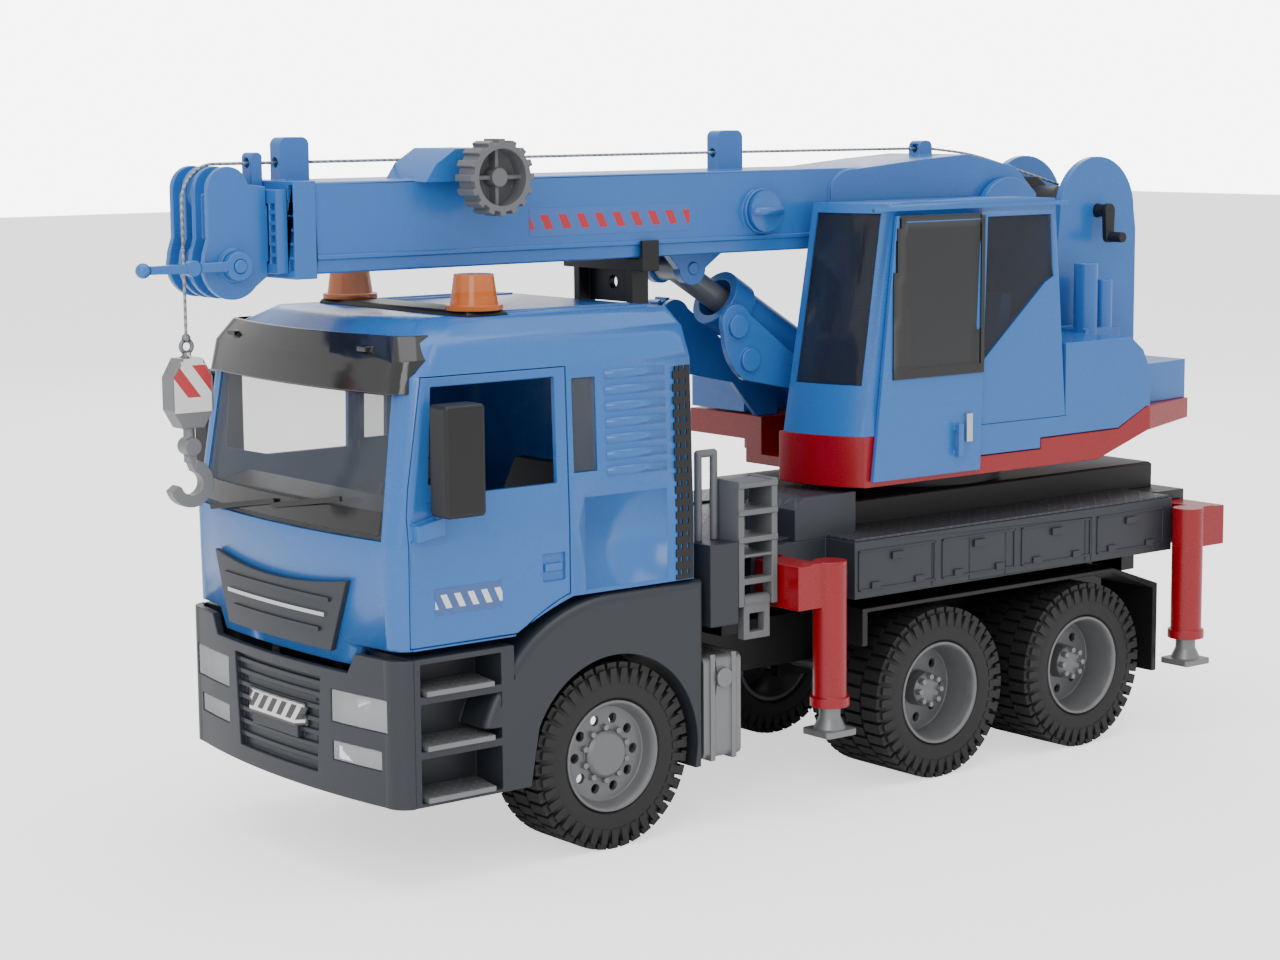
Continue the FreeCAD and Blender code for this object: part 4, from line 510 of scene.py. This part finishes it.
smoked = clear("smoked_clear", (0.03, 0.03, 0.034), 0.06, 0.45)
smoked_sheet = moulded("smoked_sheet", (0.012, 0.013, 0.015), 0.12, depth=0.002, coat=0.3)
tinted = clear("tinted_clear", (0.12, 0.13, 0.14), 0.05, 0.30)
dressed("cab_windows", tinted, 0.15)
orange = clear("orange_clear", (0.62, 0.13, 0.004), 0.10, 0.85)
dressed("beacons", orange, 0.2)
lens = clear("clear_lens", (0.75, 0.78, 0.8), 0.08, 0.35)
dressed("lamp_units", lens, 0.2)
for name, span in (("screen_lower_band", (-64, 64, 130.6, 141)), ("screen_upper_band", (-62, 62, 183, 187))):
    label(name, "cab_windows", gloss_black, span, "front", lift=0.15)
for name, side in (("cab_back_strip", "left"), ("cab_back_strip_right", "right")):
    label(name, "cab_shell", black, (31, 39.4, 99, 187), side, lift=0.1, step=1.0,
          hole=lambda x, z: (z % 5.0) < 2.0 and (x % 3.0) < 1.6, stands=0.5)
white_ink, red_ink, blue_ink = (0.78, 0.78, 0.77), (0.50, 0.01, 0.02), (0.03, 0.10, 0.32)
door_print = sticker("door_film", blue_ink, white_ink, border=0.0, bars=5.0, slant=0.8)
for side in ("left", "right"):
    label("door_sticker_" + side, "door_" + side, door_print, (-82, -52, 102.5, 112.5), side)
bm = bmesh.new()
for side in (-1, 1):
    arm = block(bm, -103.6, -102.4, 1.5, 52, 138, 140)
    bmesh.ops.rotate(bm, verts=arm, cent=at(-103, 0, 139), matrix=Matrix.Rotation(radians(-9), 3, "X"))
    if side < 0:
        bmesh.ops.translate(bm, verts=arm, vec=(0, -48 * MM, 6 * MM))
piece("wiper_arms", bm, black, "truck_cab", bevel=0.2)
for level, (z0, z1, half) in enumerate(((93.5, 95.0, 32), (99.5, 101.0, 36), (105.5, 107.0, 39))):
    material, slot_name = (chrome, "silver_plastic") if level == 1 else (dark_grey, "dark_grey_plastic")
    label("grille_bar_%d" % level, "grille_panel", material, (-half, half, z0, z1), "front",
          lift=0.05, step=1.5, stands=0.9)

# ---- 7. Crane house -----------------------------------------------------------------
# The blue house with its small cab turns on a red base. The sliding door is a blue leaf
# round a smoked pane; plain printed stickers are laid on its flanks.

dressed("turret_base", red)
dressed("turret_body", blue)
dressed("crane_cab_shell", blue, 0.0)
dressed("crane_cab_door", blue)
dressed("crane_cab_windows", smoked, 0.15)
for node in ("luff_barrel", "luff_knob"):
    dressed(node, blue)
dressed("luff_rod", silver, 0.2)


def inside_frame(x, z):
    """The opening in the door's black frame, whose front post leans back."""
    return 177 < z < 240 and 157 + (240 - z) * 0.06 < x < 200


label("crane_door_frame", "crane_cab_door", gloss_black, (150.0, 203.0, 173.0, 242.0),
      "left", lift=0.1, hole=inside_frame, stands=0.6)
label("crane_door_pane", "crane_cab_door", smoked_sheet, (151.5, 201.5, 174.5, 241.0), "left")
label("crane_door_handle", "crane_cab_door", chrome, (192.0, 195.5, 144.0, 156.0), "left",
      lift=0.1, step=1.0, stands=1.6)
crane_print = sticker("crane_film", red_ink, white_ink, border=0.16, bars=3.0, slant=0.6)
for side in ("left", "right"):
    label("crane_sticker_" + side, "turret_body", crane_print, (211, 256, 152.5, 166.5), side)

# ---- 8. Boom --------------------------------------------------------------------------
# Three blue box sections slide in one another. A toothed rack and a grey knob push the
# middle one out; a round lock turns on the outer one.

for node in ("boom_outer", "boom_mid", "boom_tip", "tip_lever"):
    dressed(node, blue)
dressed("boom_lock", blue, 0.0)
boom_print = sticker("boom_film", BLUE, red_ink, border=0.0, bars=9.0, slant=0.6)
for side in ("left", "right"):
    label("boom_sticker_" + side, "boom_outer", boom_print, (0, 81, 236.5, 247.5), side)

# ---- 9. Rope, winch and hook -------------------------------------------------------------
# A thin grey laid cord runs from the winch drum over the boom and down from the head
# wheel to a silver plastic block with a swivelling hook.

CORD_R, LAY = 0.6, 3.0
cord, cord_shader, make = finish("rope_cord")
place = make.node("ShaderNodeTexCoord", out=3)
x_part = make.node("ShaderNodeSeparateXYZ", inputs={"Vector": place})
z_part = Shade(x_part.tree, x_part.socket.node.outputs[2])
y_part = Shade(x_part.tree, x_part.socket.node.outputs[1])
wave = (x_part + z_part + y_part * 1.5) * (2000 * pi / LAY)
strand = wave.math("SINE", wave) * 0.5 + 0.5
fibre = make.node("ShaderNodeTexNoise", inputs={"Vector": place, "Scale": 3500.0})
# painted shade in the grooves between the laid strands and painted highlight on their crowns, mixed with
# fibre grain
strand_shade_and_fibre = strand * 0.7 + fibre * 0.3
strand_shade_and_fibre.blend((0.15, 0.15, 0.16, 1), (0.48, 0.48, 0.49, 1)).into(cord_shader, "Base Color")
(fibre * 0.2 + 0.5).into(cord_shader, "Roughness")
strand.relief(cord_shader, 0.2, 0.9)
for node in ("rope_on_boom", "rope_at_winch", "rope_at_tip"):
    dressed(node, cord, 0.0)
dressed("winch_drum", black, 0.3)
block_piece = dressed("hook_block", silver, 0.3)
dressed("hook", silver, 0.2)
hook_print = sticker("hook_film", white_ink, red_ink, border=0.0, bars=1.6, slant=1.6, share=0.5)
for side in ("left", "right"):
    label("hook_sticker_" + side, "hook_block", hook_print, (-148.5, -131, 176, 199), side,
          lift=0.1, step=1.0)

low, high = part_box("rope_hanging")
top, foot = Vector(((low[0] + high[0]) / 2, 0, high[2])), Vector(((low[0] + high[0]) / 2, 0, low[2]))
fall = bpy.data.curves.new("rope_fall_line", "CURVE")
fall.dimensions = "3D"
fall.bevel_depth = CORD_R * MM
fall.bevel_resolution = 4
fall.use_fill_caps = True
line = fall.splines.new("NURBS")
line.points.add(4)
for i, point in enumerate(line.points):
    point.co = (*top.lerp(foot, i / 4), 1.0)
line.order_u = 3
line.use_endpoint_u = True
line.resolution_u = 12
hanging = bpy.data.objects.new("rope_fall_cord", fall)
bpy.context.scene.collection.objects.link(hanging)
fall.materials.append(cord)
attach(hanging, "rope_fall")
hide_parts("rope_hanging")
